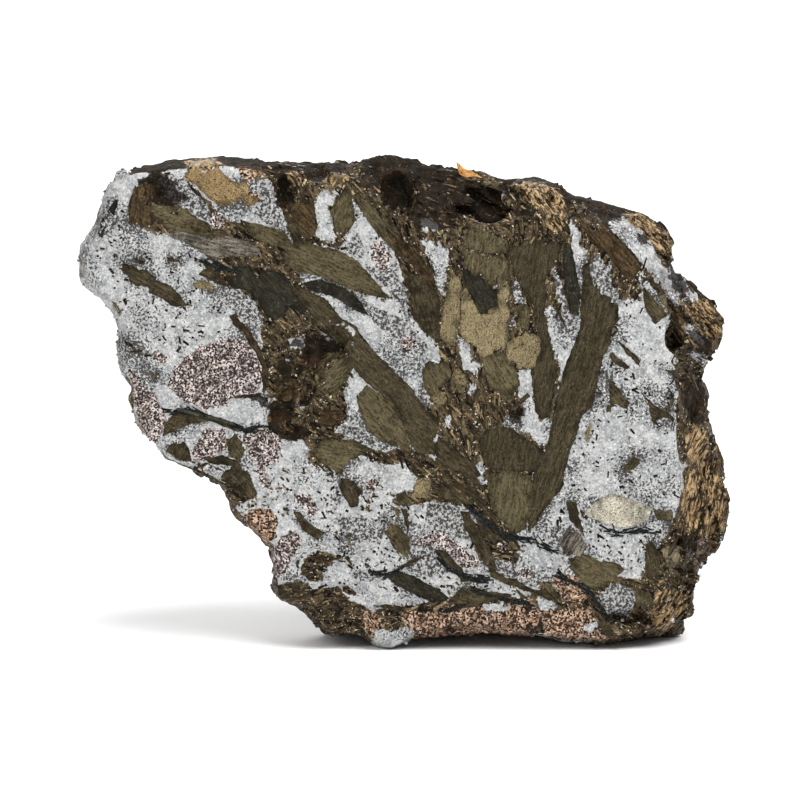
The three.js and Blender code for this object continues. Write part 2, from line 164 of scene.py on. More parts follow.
# Outlines of the blades in the ground face: tone, grain in degrees from the level, outline.
BLADES = [
    # left lone
    ("dark", -32,
     "117,267 126,264 133,266 140,270 147,270 152,274 157,281 165,283 172,286 177,291 181,298 "
     "185,304 183,306 170,305 158,296 150,293 147,287 141,285 135,286 130,282 126,275"),
    # left lone nub
    ("dark", -20, "134,262 140,259 145,262 141,265"),
    # top left upright
    ("brown", 85,
     "133,193 138,187 150,186 155,188 154,200 152,215 155,222 153,228 141,230 137,224 131,226 "
     "129,220 129,210 131,200"),
    # top left main
    ("olive", -14,
     "152,202 160,206 172,207 190,210 192,216 205,222 210,226 211,233 209,237 203,239 190,234 "
     "176,231 168,228 160,222 155,219"),
    # gold pebble
    ("amber", -40,
     "190,162 214,160 222,172 234,183 246,186 249,190 247,196 238,199 233,207 220,207 208,197 "
     "196,186 183,177 189,170"),
    # amber crystal a
    ("amber", 60, "236,184 246,183 251,191 243,198 236,192"),
    # amber crystal b
    ("amber", 20, "240,199 250,196 259,200 252,207 242,205"),
    # amber crystal c
    ("amber", -20, "249,170 262,172 270,179 258,182"),
    # amber crystal d
    ("amber", -10, "321,181 334,174 344,176 336,186 326,190"),
    # sliver by the pebble
    ("dark", 0, "213,231 222,231 230,233 226,238 218,239 210,236"),
    # big dark patch
    ("green", -45,
     "240,265 252,268 258,280 263,270 275,270 283,272 288,280 293,287 297,295 303,303 306,310 "
     "300,312 290,308 285,315 275,318 267,316 262,310 257,300 250,293 243,290 229,285 225,278 "
     "231,278 238,275"),
    # gold lath
    ("gold", -14, "195,288 193,285 195,280 205,281 218,288 212,291"),
    # dark lath a
    ("dark", -30, "200,275 205,270 212,268 220,275 228,287 218,284 208,280"),
    # dark lath b
    ("dark", -25, "200,262 210,264 224,270 221,275 205,267"),
    # left dark blade
    ("brown", -62,
     "228,313 235,311 240,320 247,326 256,340 261,350 265,360 268,372 270,390 263,392 262,368 "
     "257,355 250,345 245,335 232,322"),
    # upper fan
    ("olive", -24, "240,220 262,225 285,232 293,243 288,251 275,246 258,240 248,232"),
    # upper upright
    ("dark", -62, "280,205 287,206 290,215 297,222 300,232 303,240 300,248 295,247 292,238 284,217"),
    # flecked bronze
    ("brown", -50, "283,203 313,204 316,213 318,228 314,236 307,240 300,230 290,213"),
    # top blade a
    ("olive", 70, "330,213 340,195 350,187 354,210 357,220 349,232 345,238 338,236 333,228"),
    # top blade b
    ("olive", -52, "352,185 372,198 385,210 393,222 400,235 402,250 395,252 378,235 360,210"),
    # top blade c
    ("brown", -52, "385,228 400,240 415,250 425,262 433,275 438,290 432,292 408,260 396,250"),
    # brown middle
    ("dark", -75, "408,275 430,280 440,300 440,345 420,330 410,300"),
    # broad blade
    ("olive", -25,
     "285,255 292,248 300,243 312,244 338,250 356,261 372,277 385,293 392,299 378,297 358,292 "
     "340,285 320,277 297,272 288,266"),
    # dark strip
    ("green", -32, "300,282 322,280 345,288 360,300 372,318 357,312 337,299 313,291"),
    # long diagonal
    ("dark", -46,
     "297,285 325,298 341,318 355,325 362,336 378,355 400,377 412,388 423,405 430,413 441,421 "
     "441,428 438,432 433,455 419,455 412,446 407,433 398,412 390,398 375,390 366,382 350,365 "
     "345,348 325,334 305,307 295,297"),
    # diagonal end
    ("dark", -42, "440,437 448,445 462,455 472,461 480,475 472,478 455,473 437,460 434,452"),
    # mid olive a
    ("olive", -60, "422,368 430,362 448,363 452,372 450,380 437,392 430,396 425,390 422,376"),
    # mid gold a
    ("gold", 40, "431,397 437,393 447,392 448,400 437,408"),
    # gold column
    ("gold", 86,
     "447,285 452,273 459,277 461,285 460,300 460,318 458,331 455,344 446,346 440,339 441,322 "
     "443,309 446,295"),
    # gold upper
    ("olive", 80, "463,232 478,226 486,232 501,239 507,243 506,254 485,254 463,251"),
    # gold middle
    ("olive", 80,
     "463,252 485,255 505,255 510,260 513,271 510,280 499,282 492,285 486,281 479,275 471,274 "
     "464,266"),
    # gold lower
    ("gold", 85,
     "461,294 466,289 470,298 476,308 481,314 499,312 499,305 497,295 501,284 508,286 509,295 "
     "505,303 510,312 509,318 506,323 509,335 505,346 499,352 487,357 476,351 469,344 461,336 "
     "459,330 461,316"),
    # dark slant
    ("green", -60, "461,268 473,275 483,278 490,285 496,295 499,308 480,313 472,300 463,280"),
    # gold right
    ("gold", 80,
     "514,337 524,334 534,333 541,338 542,352 537,366 531,371 517,367 509,364 505,355 507,344"),
    # olive nick
    ("olive", 85, "517,308 525,303 530,308 528,330 520,328"),
    # wide brown
    ("dark", 82,
     "508,245 530,242 555,240 562,248 545,280 546,300 544,312 549,335 556,365 558,370 552,400 "
     "550,420 540,420 535,415 532,385 531,370 541,350 538,330 533,310 522,290 513,275"),
    # dark strip right
    ("green", 85, "566,245 571,247 574,262 580,290 580,305 578,320 570,318 563,290 562,255"),
    # wedge sliver
    ("dark", -60, "553,300 563,320 569,332 560,320"),
    # rust blade
    ("brown", -50,
     "575,205 595,215 615,235 630,250 645,268 636,280 632,287 617,268 608,255 592,245 582,228"),
    # lath j1
    ("dark", -50, "618,340 630,350 642,362 639,366 625,352"),
    # lath j2
    ("dark", -38, "608,353 612,352 625,363 631,368 626,370 612,361"),
    # lath j3
    ("olive", -48, "610,381 620,390 629,403 628,411 618,405 610,405"),
    # lath j3 foot
    ("olive", 90, "607,405 612,404 611,411 607,412"),
    # lath j4
    ("dark", -40, "645,397 655,406 668,412 677,421 676,424 664,416 656,420 658,426 651,420 647,405"),
    # lath j4 arm
    ("dark", 70, "666,411 671,402 670,395 673,395 674,403 669,412"),
    # lath j5
    ("gold", 65, "585,433 590,423 592,427 590,438 586,440"),
    # lath j6
    ("olive", 35, "622,470 628,461 634,456 641,460 637,467 624,474"),
    # lath j8
    ("dark", -15, "663,369 676,371 682,375 678,379"),
    # edge lump
    ("dark", 60, "671,360 676,350 684,349 688,357 685,366 680,371"),
    # upper right dark
    ("dark", -50, "640,275 660,285 668,300 668,315 655,325 645,310"),
    # long right
    ("dark", 72,
     "582,265 580,327 566,364 560,382 553,413 550,433 545,451 537,466 533,477 528,492 526,510 "
     "529,530 533,530 548,506 558,496 563,488 564,474 570,452 575,442 579,425 582,416 592,407 "
     "597,387 601,366 604,355 609,346 612,330 619,318 617,300 605,297 597,290 592,275 590,262"),
    # tongue
    ("olive", 80, "486,470 487,485 490,500 500,522 508,530 516,533 527,528 527,518 532,490 533,472"),
    # brown lump
    ("dark", 80,
     "478,440 486,428 500,424 512,426 522,434 536,444 545,452 541,466 533,474 505,474 488,471 "
     "482,458"),
    # olive between
    ("olive", 70, "226,440 236,436 243,446 240,461 230,459 227,450"),
    # gold splinter
    ("gold", -70, "452,372 458,365 467,380 464,395 450,390"),
    # laths middle
    ("olive", -55, "480,358 500,350 517,370 520,385 510,400 490,385"),
    # lath by the hollow
    ("dark", 40, "512,408 526,394 529,397 516,410"),
    # left olive
    ("olive", 40, "325,352 342,352 350,370 343,385 333,395 318,390 315,372"),
    # left brown
    ("brown", 10, "275,380 288,378 300,384 298,398 284,402 275,396"),
    # brown under
    ("brown", -10, "322,408 345,412 348,418 330,427 315,425"),
    # olive under
    ("olive", -15, "308,452 325,440 355,440 373,450 350,458 340,475 325,465"),
    # dark oval
    ("dark", -60, "341,478 353,480 362,492 357,505 350,507 340,490"),
    # lower left lath
    ("dark", -42, "294,513 300,513 312,526 325,532 317,541 302,530"),
    # tiny olive
    ("olive", 5, "340,536 351,534 350,537"),
    # tiny brown
    ("brown", -50, "344,556 348,556 354,569"),
    # corner dark
    ("dark", 10, "277,587 285,584 303,582 303,588 288,598 276,593"),
    # low olive
    ("olive", -55, "385,533 390,525 398,525 410,540 411,550 408,560 395,550"),
    # long low
    ("green", -28, "388,577 395,571 415,577 435,588 448,598 436,605 415,596 395,585"),
    # branch
    ("dark", 22, "395,570 410,561 425,556 410,566"),
    # low strip
    ("green", 14, "443,611 460,605 472,603 458,611 447,614"),
    # low sliver
    ("dark", -8, "375,606 398,607 406,612 393,611"),
    # gold square
    ("gold", -60, "417,480 431,480 428,500 413,497"),
    # olive crumb
    ("olive", -40, "395,495 405,490 413,505 400,505"),
    # grey gold
    ("gold", -60, "390,505 400,510 400,520"),
    # thin dark
    ("dark", -80, "401,510 408,511 409,525 408,533"),
    # mid laths a
    ("olive", -20, "430,490 445,488 472,500 478,505 455,503"),
    # mid laths b
    ("dark", -30, "440,478 468,485 487,503 490,515 470,497"),
    # low dark
    ("dark", -58, "458,508 468,510 478,530 488,545 497,568 495,575 480,555 468,535"),
    # low dark b
    ("dark", -50, "479,522 488,525 498,538 494,543 480,533"),
    # right dark
    ("dark", -60, "565,500 575,500 582,525 586,538 570,520"),
    # right brown
    ("brown", 70, "580,510 585,512 583,520"),
    # pale gold
    ("pale", -8, "587,512 603,498 608,493 628,498 645,505 653,508 650,520 630,528 610,526 593,518"),
    # right olive
    ("olive", -5, "653,510 675,512 673,522 657,520"),
    # low upright
    ("dark", -78, "646,543 652,540 661,555 661,570 658,580 648,580 645,555"),
    # low upright gold
    ("gold", -85, "662,550 670,548 668,568"),
    # low right olive
    ("olive", -30, "585,572 595,565 610,575 608,588 588,588"),
    # low right olive b
    ("olive", -10, "608,568 625,572 610,580"),
    # low right dark
    ("dark", -52, "593,608 605,620 620,645 603,635"),
    # low right lath
    ("olive", -60, "635,588 652,597 655,615 637,605"),
    # low lath a
    ("dark", -45, "545,588 558,602 543,592"),
    # low lath b
    ("olive", -40, "515,588 530,600 522,600"),
    # low lath c
    ("dark", -5, "565,558 590,560 595,567 572,568"),
    # low gold
    ("olive", 5, "455,600 480,595 497,600 472,605"),
    # left band
    ("dark", -10, "163,437 165,425 176,411 200,412 225,420 246,428 238,432 212,421 190,424 170,433"),
    # left low dark
    ("dark", 60, "170,452 176,444 184,441 190,450 191,462 178,462"),
    # left low olive
    ("olive", -40, "228,447 235,440 246,450 243,458"),
    # left low blade
    ("dark", -50, "222,475 236,465 250,475 256,492 250,497 233,489"),
    # left low band
    ("dark", -20, "205,458 222,455 240,462 245,470 228,466 210,464"),
    # oval lath
    ("brown", 2, "230,396 262,393 262,397 232,399"),
    # small left a
    ("dark", -25, "146,370 158,375 158,380"),
    # small left b
    ("dark", -35, "143,389 150,395 148,396"),
    # small top
    ("brown", -15, "168,257 180,260 180,263 170,261"),
    # small gold
    ("gold", -40, "110,299 116,303 124,314 120,316"),
    # small mid
    ("dark", 20, "211,308 216,305 215,309"),
    # small green
    ("green", -30, "125,341 131,343 133,347 127,346"),
    # small brown row
    ("brown", -5, "130,350 143,350 143,353 131,353"),
    # silky
    ("silky", -12,
     "165,230 185,232 208,238 228,237 248,240 262,250 257,257 235,257 215,260 202,253 185,243 "
     "168,237"),
    # striated block
    ("silky", 60, "558,543 567,530 582,533 587,547 582,558 567,557"),
    # olive lumps
    ("olive", -20, "567,567 577,557 590,555 600,562 617,563 627,570 620,580 607,587 590,590 580,580"),
    # under the diagonal
    ("olive", -50,
     "365,383 377,392 392,400 400,415 408,435 410,452 395,448 382,443 368,430 362,417 358,403 "
     "357,392"),
    # low diag a
    ("dark", -42, "433,547 447,552 460,567 470,580 463,582 450,567 437,555"),
    # low diag b
    ("olive", -15, "448,597 460,588 477,590 487,595 480,605 467,608 453,603"),
    # low diag c
    ("dark", -12, "477,590 510,595 512,602 483,597"),
    # low diag d
    ("dark", -25,
     "487,563 500,577 517,580 533,590 547,593 557,600 553,603 540,597 523,590 507,585 490,577"),
    # low diag e
    ("olive", -45, "537,580 550,582 558,593 560,602 550,595 540,590"),
    # low right gold
    ("gold", 60, "667,560 680,547 683,557 673,573"),
    # left foot
    ("dark", 25, "163,452 172,443 182,446 190,452 188,460 176,460"),
    # left foot b
    ("brown", -25, "190,468 205,462 222,470 232,480 226,486 208,478"),
    # edge lath a
    ("green", 60, "98,235 102,222 106,215 107,226 102,240"),
    # edge lath b
    ("green", 70, "110,210 116,200 119,203 115,216"),
    # left stripe a
    ("green", -14, "176,410 200,413 225,420 246,428 225,425 200,418"),
]

# Brown ground of broken blades.
BROWN_GROUND = [
    "700,440 740,430 740,580 696,585 692,540",
    "640,606 704,575 704,650 640,650",
    "345,190 375,170 414,172 455,176 510,182 572,200 590,215 640,262 640,300 620,300 600,262 "
    "580,262 566,325 560,372 553,420 545,452 530,478 486,478 452,470 440,437 430,410 420,388 "
    "440,360 440,345 410,315 404,280 385,228 360,212",
    "136,187 155,172 185,178 215,208 228,222 255,224 290,245 296,250 300,282 322,300 300,312 "
    "262,318 226,286 212,262 190,236 150,232 130,226",
    "262,318 305,308 345,350 352,368 345,395 350,420 345,440 310,450 300,440 268,440 270,400 "
    "262,352",
    "345,440 380,452 412,448 440,462 486,476 500,520 520,535 520,560 500,580 480,560 462,520 "
    "432,500 415,505 395,505 380,470 350,460 318,470 305,455",
    "372,612 400,606 450,600 520,598 560,590 600,575 640,580 660,545 676,530 700,560 690,612 "
    "672,634 620,645 560,640 480,632 410,638 370,625",
    "575,200 640,211 672,240 690,280 722,320 722,345 702,379 690,400 672,345 668,300 640,262 "
    "600,222",
    "222,475 236,465 250,475 256,497 232,508",
    "275,592 285,584 303,582 312,590 336,588 350,600 372,612 360,628 330,637 318,630 300,608",
    "303,560 316,550 335,556 334,566 322,570 322,581 308,581 302,572",
    "245,160 312,166 345,160 380,165 352,190 345,240 338,250 316,245 300,246 285,232 292,225 "
    "280,195 262,172",
]

# White matrix that shows between the blades inside the brown ground.
WHITE_GAPS = [
    "322,332 329,333 328,339 323,338",
    "284,358 289,359 289,367 284,366",
    "271,397 276,397 275,403 271,402",
    "299,404 304,405 303,410 299,409",
    "318,197 324,191 330,191 329,212 335,223 337,230 336,245 322,241 318,238 314,214",
    "331,197 336,189 340,189 332,205",
    "251,187 264,174 267,180 271,190 277,195 279,208 288,230 275,229 265,223 250,220 244,216 "
    "247,206 258,203 262,196",
    "352,296 375,300 393,306 400,317 393,329 387,330 375,317 362,303",
    "335,301 362,318 386,333 392,337 400,340 402,356 397,366 388,365 376,350 370,338 361,332 "
    "347,320",
    "421,240 436,241 449,253 446,272 444,297 439,292 432,268 425,248",
    "420,220 430,218 445,230 424,232",
    "545,313 547,303 552,305 562,320 570,335 572,340 568,355 559,367 554,350 547,330",
    "568,222 572,220 580,232 578,245 588,250 583,250 588,261 580,265 578,277 573,258 570,233",
    "458,335 470,345 472,362 484,364 475,375 462,368 457,342",
    "518,368 531,370 534,400 540,421 555,415 548,440 540,448 531,435 515,430 498,428 507,415 "
    "520,420 524,405 518,398",
    "467,395 468,385 478,383 476,392",
    "443,425 448,413 452,420 448,430",
    "420,335 423,328 429,345 435,358 422,345",
    "402,358 412,350 425,350 430,360 415,372 402,368",
    "475,463 483,460 486,485 480,483",
    "345,385 350,400 366,410 360,423 372,440 380,450 360,438 335,432 345,422 347,405",
    "347,465 362,455 380,465 403,462 417,477 413,490 395,500 380,478 355,482",
    "483,606 503,603 513,610 487,615",
    "535,593 555,603 560,607 542,612",
    "583,629 596,622 600,630 584,635",
    "608,226 632,220 650,245 668,275 675,300 648,265 620,238",
    "515,553 535,546 553,555 538,570 520,563",
    "132,225 138,223 145,230 143,237 137,238 131,233",
    "172,174 182,180 192,190 208,210 213,230 208,235 202,230 198,217 185,210 172,200 162,187 "
    "158,180",
    "205,287 225,285 240,292 255,302 262,318 255,325 240,318 225,305 210,298",
    "288,340 298,335 305,343 302,350 292,348",
    "166,446 176,437 190,432 196,436 190,446 180,452 168,456",
]

# Matrix finely mixed with black.
SPECKLED = [
    "347,247 350,240 356,232 360,237 365,254 361,260 346,252",
    "360,263 372,266 385,272 397,257 399,278 404,287 407,308 405,313 397,302 393,296 383,285 "
    "372,275",
    "551,262 560,280 566,305 575,323 577,328 571,340 561,315",
    "592,255 596,253 605,265 611,262 610,283 612,293 600,294 594,275",
    "512,285 517,278 526,308 514,300",
    "507,325 513,318 517,330",
    "490,288 500,284 494,291",
    "418,380 424,386 432,404 430,410 422,396",
    "185,195 195,195 203,200 208,206 210,215 206,222 198,220 192,212 182,205",
    "597,598 615,583 633,590 638,600 630,618 608,615",
    "545,530 570,522 585,540 588,550 565,556 548,543",
    "172,174 182,180 192,190 208,210 213,230 208,235 202,230 198,217 185,210 172,200 162,187 "
    "158,180",
    "215,287 225,285 240,292 255,302 262,318 255,325 240,318 225,305",
    "262,180 271,190 277,195 279,208 288,230 275,229 265,223 255,215",
    "96,215 108,200 118,195 122,215 112,235 100,240",
    "428,500 470,508 480,520 470,540 440,535 425,520",
    "330,520 360,515 385,530 380,545 350,535",
    "410,535 445,545 460,570 430,578 405,570",
    "350,570 395,572 390,580 355,582",
    "490,555 540,575 590,585 585,600 540,590 495,572",
    "360,300 400,318 428,345 424,358 395,340 370,318",
    "340,425 372,430 378,446 350,444",
]

# Pinkish grainy patches.
PINK_PATCHES = [
    "168,385 175,368 188,355 200,346 215,342 243,337 257,357 262,370 261,385 255,395 235,395 "
    "225,405 205,410 185,402 172,390",
    "212,212 222,214 226,222 222,228 212,228 210,220",
    "371,246 375,241 382,242 391,258 388,268 382,272 370,258",
    "400,338 410,335 418,343 404,356",
    "152,355 160,350 172,360 155,366",
    "128,372 136,372 143,388 132,385",
    "138,400 152,392 163,410 167,420 155,446 138,430 136,408",
    "192,452 205,428 225,430 227,448 208,460 193,463",
    "240,440 260,427 282,435 278,460 262,470 248,452",
    "255,460 268,475 275,495 260,485",
    "287,492 310,495 318,510 312,517 297,503",
    "271,550 285,535 298,538 288,568 275,580",
    "365,482 372,478 380,480 380,492 366,492",
    "412,545 425,535 440,532 460,545 478,560 483,568 462,568 445,548",
    "497,545 503,540 508,545 500,553",
    "400,617 425,613 445,625 425,633 408,630",
    "545,263 550,257 554,263 553,280 546,268",
    "240,520 265,508 276,520 270,540 252,530",
    "132,367 138,375 145,388 155,397 165,410 163,430 155,445 142,430 135,410 133,387",
    "275,547 282,537 292,530 302,540 298,553 288,560 285,577 278,573 275,560",
    "468,577 487,575 487,583 472,585",
    "518,568 530,567 533,577 523,580",
    "455,618 470,612 492,612 500,622 480,630 460,628",
    "525,610 545,612 548,622 530,622",
]

# Rust-coloured grainy patches.
RUST_PATCHES = [
    "556,575 580,575 590,600 570,607 552,585",
    "548,625 575,612 590,615 580,632 555,635",
    "470,622 490,617 510,613 525,625 505,632 478,630",
    "520,605 530,600 540,615 522,613",
    "242,517 252,510 265,508 275,513 278,530 275,537 268,545 258,537 248,527",
    "400,614 450,612 520,602 545,612 590,608 600,625 620,640 560,642 480,634 410,640",
    "362,613 375,612 386,622 384,640 372,640 362,628",
    "236,163 262,166 268,178 250,182 240,175",
    "240,190 252,192 262,198 258,206 246,204",
]

# Golden broken blades on the rim, partly painted highlight where they catch the light.
GOLD_PATCHES = [
    "656,594 672,588 686,597 686,616 674,630 660,632 650,618",
    "620,215 640,211 668,232 674,244 672,252 662,255 640,228",
    "684,304 700,298 716,306 718,318 700,322 686,316",
    "700,322 712,318 722,330 718,338 704,334",
    "690,425 706,430 712,450 704,466 690,462 686,440",
    "684,480 700,466 716,462 730,500 726,530 706,538 690,530 682,505",
    "513,186 530,180 548,184 562,192 568,212 560,236 550,228 540,212 525,200",
    "285,172 303,173 303,188 290,186",
    "328,178 345,172 350,180 334,190",
    "183,160 214,158 226,166 205,172 188,172",
]

# Matrix strewn with small laths.
BUSY_MATRIX = [
    "380,460 480,470 520,540 600,530 660,545 660,600 560,600 480,605 430,600 380,590 330,560 "
    "320,500",
    "160,430 290,430 290,520 240,515 200,470",
    "90,225 125,200 128,250 100,270",
    "205,225 262,225 262,300 215,290 190,255",
    "340,240 410,250 440,340 430,360 380,340",
]

# Black shade in the hollows.
BLACK_HOLLOWS = [
    "300,345 318,340 334,345 332,358 316,364 303,358",
    "268,406 280,400 293,408 290,421 274,422",
    "293,428 303,424 309,432 302,441 293,438",
    "279,362 290,360 294,372 288,382 279,376",
    "136,187 143,178 152,173 160,172 167,175 175,183 182,192 187,200 178,205 160,206 155,200 "
    "155,190 148,185",
    "277,172 285,171 290,176 290,186 283,200 278,186",
    "377,170 384,164 405,163 412,168 414,198 410,205 393,210 384,198 380,178",
    "300,350 307,338 325,335 343,347 322,357 316,365 303,358",
    "283,400 300,400 290,418 280,412",
    "290,435 300,427 306,432 305,440",
    "510,410 518,405 525,412 522,424 512,424",
    "670,318 676,312 681,318 684,345 672,345",
    "333,605 340,602 340,622 334,625",
    "252,397 268,397 268,410",
    "582,203 615,212 622,220 600,217",
    "637,233 648,233 648,243 638,243",
    "664,255 680,268 690,290 684,300 672,286",
    "686,328 700,332 716,345 708,356 690,350",
    "680,378 700,380 712,400 705,424 690,420 684,400",
    "676,536 700,538 698,554 680,556",
    "430,174 470,180 502,192 505,212 480,220 450,205 432,196",
    "410,205 430,210 425,230 412,225",
    "527,627 543,623 547,637 533,640",
    "443,627 453,623 455,633 447,637",
]

# Broken rim: grain in degrees from the level, share of golden laths, outline.
RIM_GRAIN = [
    (-42, 0.6, "616,211 640,207 672,228 678,246 672,256 660,256 638,228"),
    (-45, 0.5, "660,252 684,258 730,310 730,356 692,384 668,330"),
    (78, 0.75, "676,460 735,455 738,560 690,560 676,540"),
    (60, 0.4, "676,380 720,380 720,460 676,460"),
    (-58, 0.6, "510,184 550,180 570,200 566,240 545,235 520,205"),
    (-35, 0.25, "415,168 510,176 508,235 420,225"),
    (50, 0.2, "655,590 695,585 692,640 655,640"),
]

# Parts of the broken rim that stay white.
WHITE_RIM = [
    "70,150 128,150 132,200 128,260 140,345 70,345",
    "606,222 628,214 642,228 652,240 650,252 662,266 676,286 684,306 672,304 656,282 644,268 628,246 "
    "612,232",
    "374,632 412,628 414,656 372,656",
    "652,256 664,266 680,288 685,300 678,301 664,282 652,268",
    "668,262 681,271 698,295 703,305 694,304 680,286 668,273",
    "684,319 695,327 705,342 699,345 690,337 683,328",
    "691,347 702,351 711,364 704,367 693,358",
]

# Hollows that are nearly filled with broken blades.
SHALLOW = [
    "298,546 340,546 342,586 298,588",
    "315,584 372,584 372,622 315,622",
]

# Where a few dark laths lie scattered in the white matrix.
OPEN_MATRIX = [
    "100,235 150,235 215,265 240,330 165,390 125,330",
    "340,210 440,225 440,350 400,345 340,290",
    "575,225 680,300 680,540 545,560 600,330",
    "270,450 400,450 560,560 560,600 300,590",
]

# A honey-coloured splinter on the top edge.
AMBER_SPLINTER = "456,161 464,168 474,172 483,178 470,179 459,174"

# Strands of black needles in the ground face.
NEEDLE_STRANDS = [
    "470,508 485,520 495,530 505,538 535,540 555,552",
    "603,527 618,535 640,532 654,534",
    "372,574 385,576 400,572",
    "440,560 452,572 470,578 492,580",
    "205,262 222,268 240,270",
    "168,412 195,413 220,420 245,430 262,428 278,425",
    "470,590 500,598 530,606",
    "560,575 590,592 610,620",
]


def outline(text):
    """The points of a written outline as an array."""
    return np.array([[float(number) for number in pair.split(",")] for pair in text.split()])


def seen_from_front(places):
    """Picture points at which places on the specimen, in metres, are seen."""
    height = places[:, 2] * math.cos(LOOK_DOWN) + (places[:, 1] - LOW.y) * math.sin(LOOK_DOWN)
    across = MIDDLE_X + places[:, 0] / MM * POINTS_PER_MM
    return np.stack((across, FLOOR_Y - height / MM * POINTS_PER_MM), axis=1)


def place_in_front(point):
    """A place on the line of sight through a picture point, well in front of the specimen."""
    x = (point[0] - MIDDLE_X) / POINTS_PER_MM * MM
    height = (FLOOR_Y - point[1]) / POINTS_PER_MM * MM
    on_face = Vector((x, LOW.y, height / math.cos(LOOK_DOWN)))
    return on_face - SIGHT * STAND_OFF


def depth_inside(points, polygon):
    """How far each picture point lies inside a polygon, in millimetres, negative outside."""
    nearest = np.full(len(points), np.inf)
    inside = np.zeros(len(points), dtype=bool)
    for start, end in zip(polygon, np.roll(polygon, -1, axis=0)):
        along = end - start
        offset = points - start
        share = np.clip(offset @ along / (along @ along), 0, 1)
        gap = offset - share[:, None] * along
        nearest = np.minimum(nearest, np.einsum("ij,ij->i", gap, gap))
        crosses = (start[1] > points[:, 1]) != (end[1] > points[:, 1])
        rise = along[1] if along[1] else 1.0
        inside ^= crosses & (points[:, 0] < start[0] + along[0] * (points[:, 1] - start[1]) / rise)
    return np.where(inside, 1, -1) * np.sqrt(nearest) / POINTS_PER_MM


def depth_in_any(points, outlines):
    """How far each picture point lies inside the nearest of several outlines, in millimetres."""
    depth = np.full(len(points), FAR_OUTSIDE)
    for text in outlines:
        depth = np.maximum(depth, depth_inside(points, outline(text)))
    return depth


def blade_outlines():
    """The outlines of all the large blades."""
    return [text for _, _, text in BLADES]


def fan_grain(points):
    """The way the blades run at picture points, in degrees: they spread from one low centre."""
    away = np.asarray(points) - FAN_CENTRE
    grain = np.degrees(np.arctan2(-away[:, 1], away[:, 0]))
    for angle, _, text in RIM_GRAIN:
        grain[depth_inside(points, outline(text)) > 0] = angle
    return grain


def run_at(angle):
    """A direction in the ground face, turned up from the level by an angle."""
    return Vector((math.cos(angle), 0, math.sin(angle)))


def only(piece):
    """Selects one piece and nothing else."""
    bpy.ops.object.select_all(action="DESELECT")
    piece.select_set(True)
    bpy.context.view_layer.objects.active = piece


def apply_modifier(piece, kind, **values):
    """Adds a modifier with some values and applies it."""
    only(piece)
    modifier = piece.modifiers.new(kind.lower(), kind)
    for name, value in values.items():
        setattr(modifier, name, value)
    bpy.ops.object.modifier_apply(modifier=modifier.name)


def flat_polygon(corners):
    """A new flat piece with one filled face of so many corners."""
    bpy.ops.object.select_all(action="DESELECT")
    bpy.ops.mesh.primitive_circle_add(vertices=corners, fill_type="NGON")
    return bpy.context.view_layer.objects.active


def piece_from(name, corners, faces):
    """A new piece made of corners and faces."""
    mesh = bpy.data.meshes.new(name)
    mesh.from_pydata(corners, [], faces)
    mesh.update()
    piece = bpy.data.objects.new(name, mesh)
    bpy.context.collection.objects.link(piece)
    return piece


def rename(piece, name):
    """Names a piece and its mesh alike."""
    piece.name = name
    piece.data.name = name


def settle(piece, material):
    """Gives a finished piece its material and its place in the frame."""
    piece.data.materials.clear()
    piece.data.materials.append(material)
    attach(piece, "root")
    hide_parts(NODE)


def set_values(mesh, name, values, kind="FLOAT", domain="POINT"):
    """Stores one value or vector for each vertex or face of a mesh."""
    attribute = mesh.attributes.new(name, kind, domain)
    field = "vector" if kind == "FLOAT_VECTOR" else "value"
    attribute.data.foreach_set(field, np.asarray(values, dtype=np.float32).ravel())


def mark_splinters(mesh, tones, grain):
    """Stores what the blade material reads, on laths whose edges do not crumble."""
    set_values(mesh, "tone", tones, domain="FACE")
    set_values(mesh, "edge", np.full(len(mesh.vertices), WHOLE_EDGE))
    set_values(mesh, "grain", grain, kind="FLOAT_VECTOR")


def finished_rock():
    """The rock, on which everything else is laid."""
    rock = bpy.data.objects.get("rock")
    if rock is None:
        raise RuntimeError("The rock has to be made before what lies on it")
    return rock


def rock_surface():
    """The finished rock as a tree that lines of sight can be shot at."""
    return BVHTree.FromObject(finished_rock(), bpy.context.evaluated_depsgraph_get())


def vertex_arrays(mesh):
    """Places and normals of a mesh's vertices."""
    places = np.empty(len(mesh.vertices) * 3, dtype=np.float32)
    normals = np.empty(len(mesh.vertices) * 3, dtype=np.float32)
    mesh.vertices.foreach_get("co", places)
    mesh.vertices.foreach_get("normal", normals)
    return places.reshape(-1, 3).astype(float), normals.reshape(-1, 3).astype(float)


def smooth_step(values, low, high):
    """0 below low, 1 above high and a smooth rise between."""
    share = np.clip((values - low) / (high - low), 0, 1)
    return share * share * (3 - 2 * share)


def bladedness(place):
    """How bladed, rather than crumbly, the broken stone is round a place: about -1 to 1."""
    return noise.fractal(place / BLADED_PATCH, 0.7, 2.3, 4)


def patch_run(place):
    """The way the blades run in the patch of broken stone round a place, out of the front's sight."""
    wander = Vector([noise.noise(place / RUN_WANDER + start) for start in RUN_STARTS])
    moved = place / RUN_PATCH + 0.35 * wander
    run = noise.cell_vector(moved) - Vector((0.5, 0.5, 0.5))
    return run.normalized() if run.length > 1e-6 else Vector((0, 0, 1))


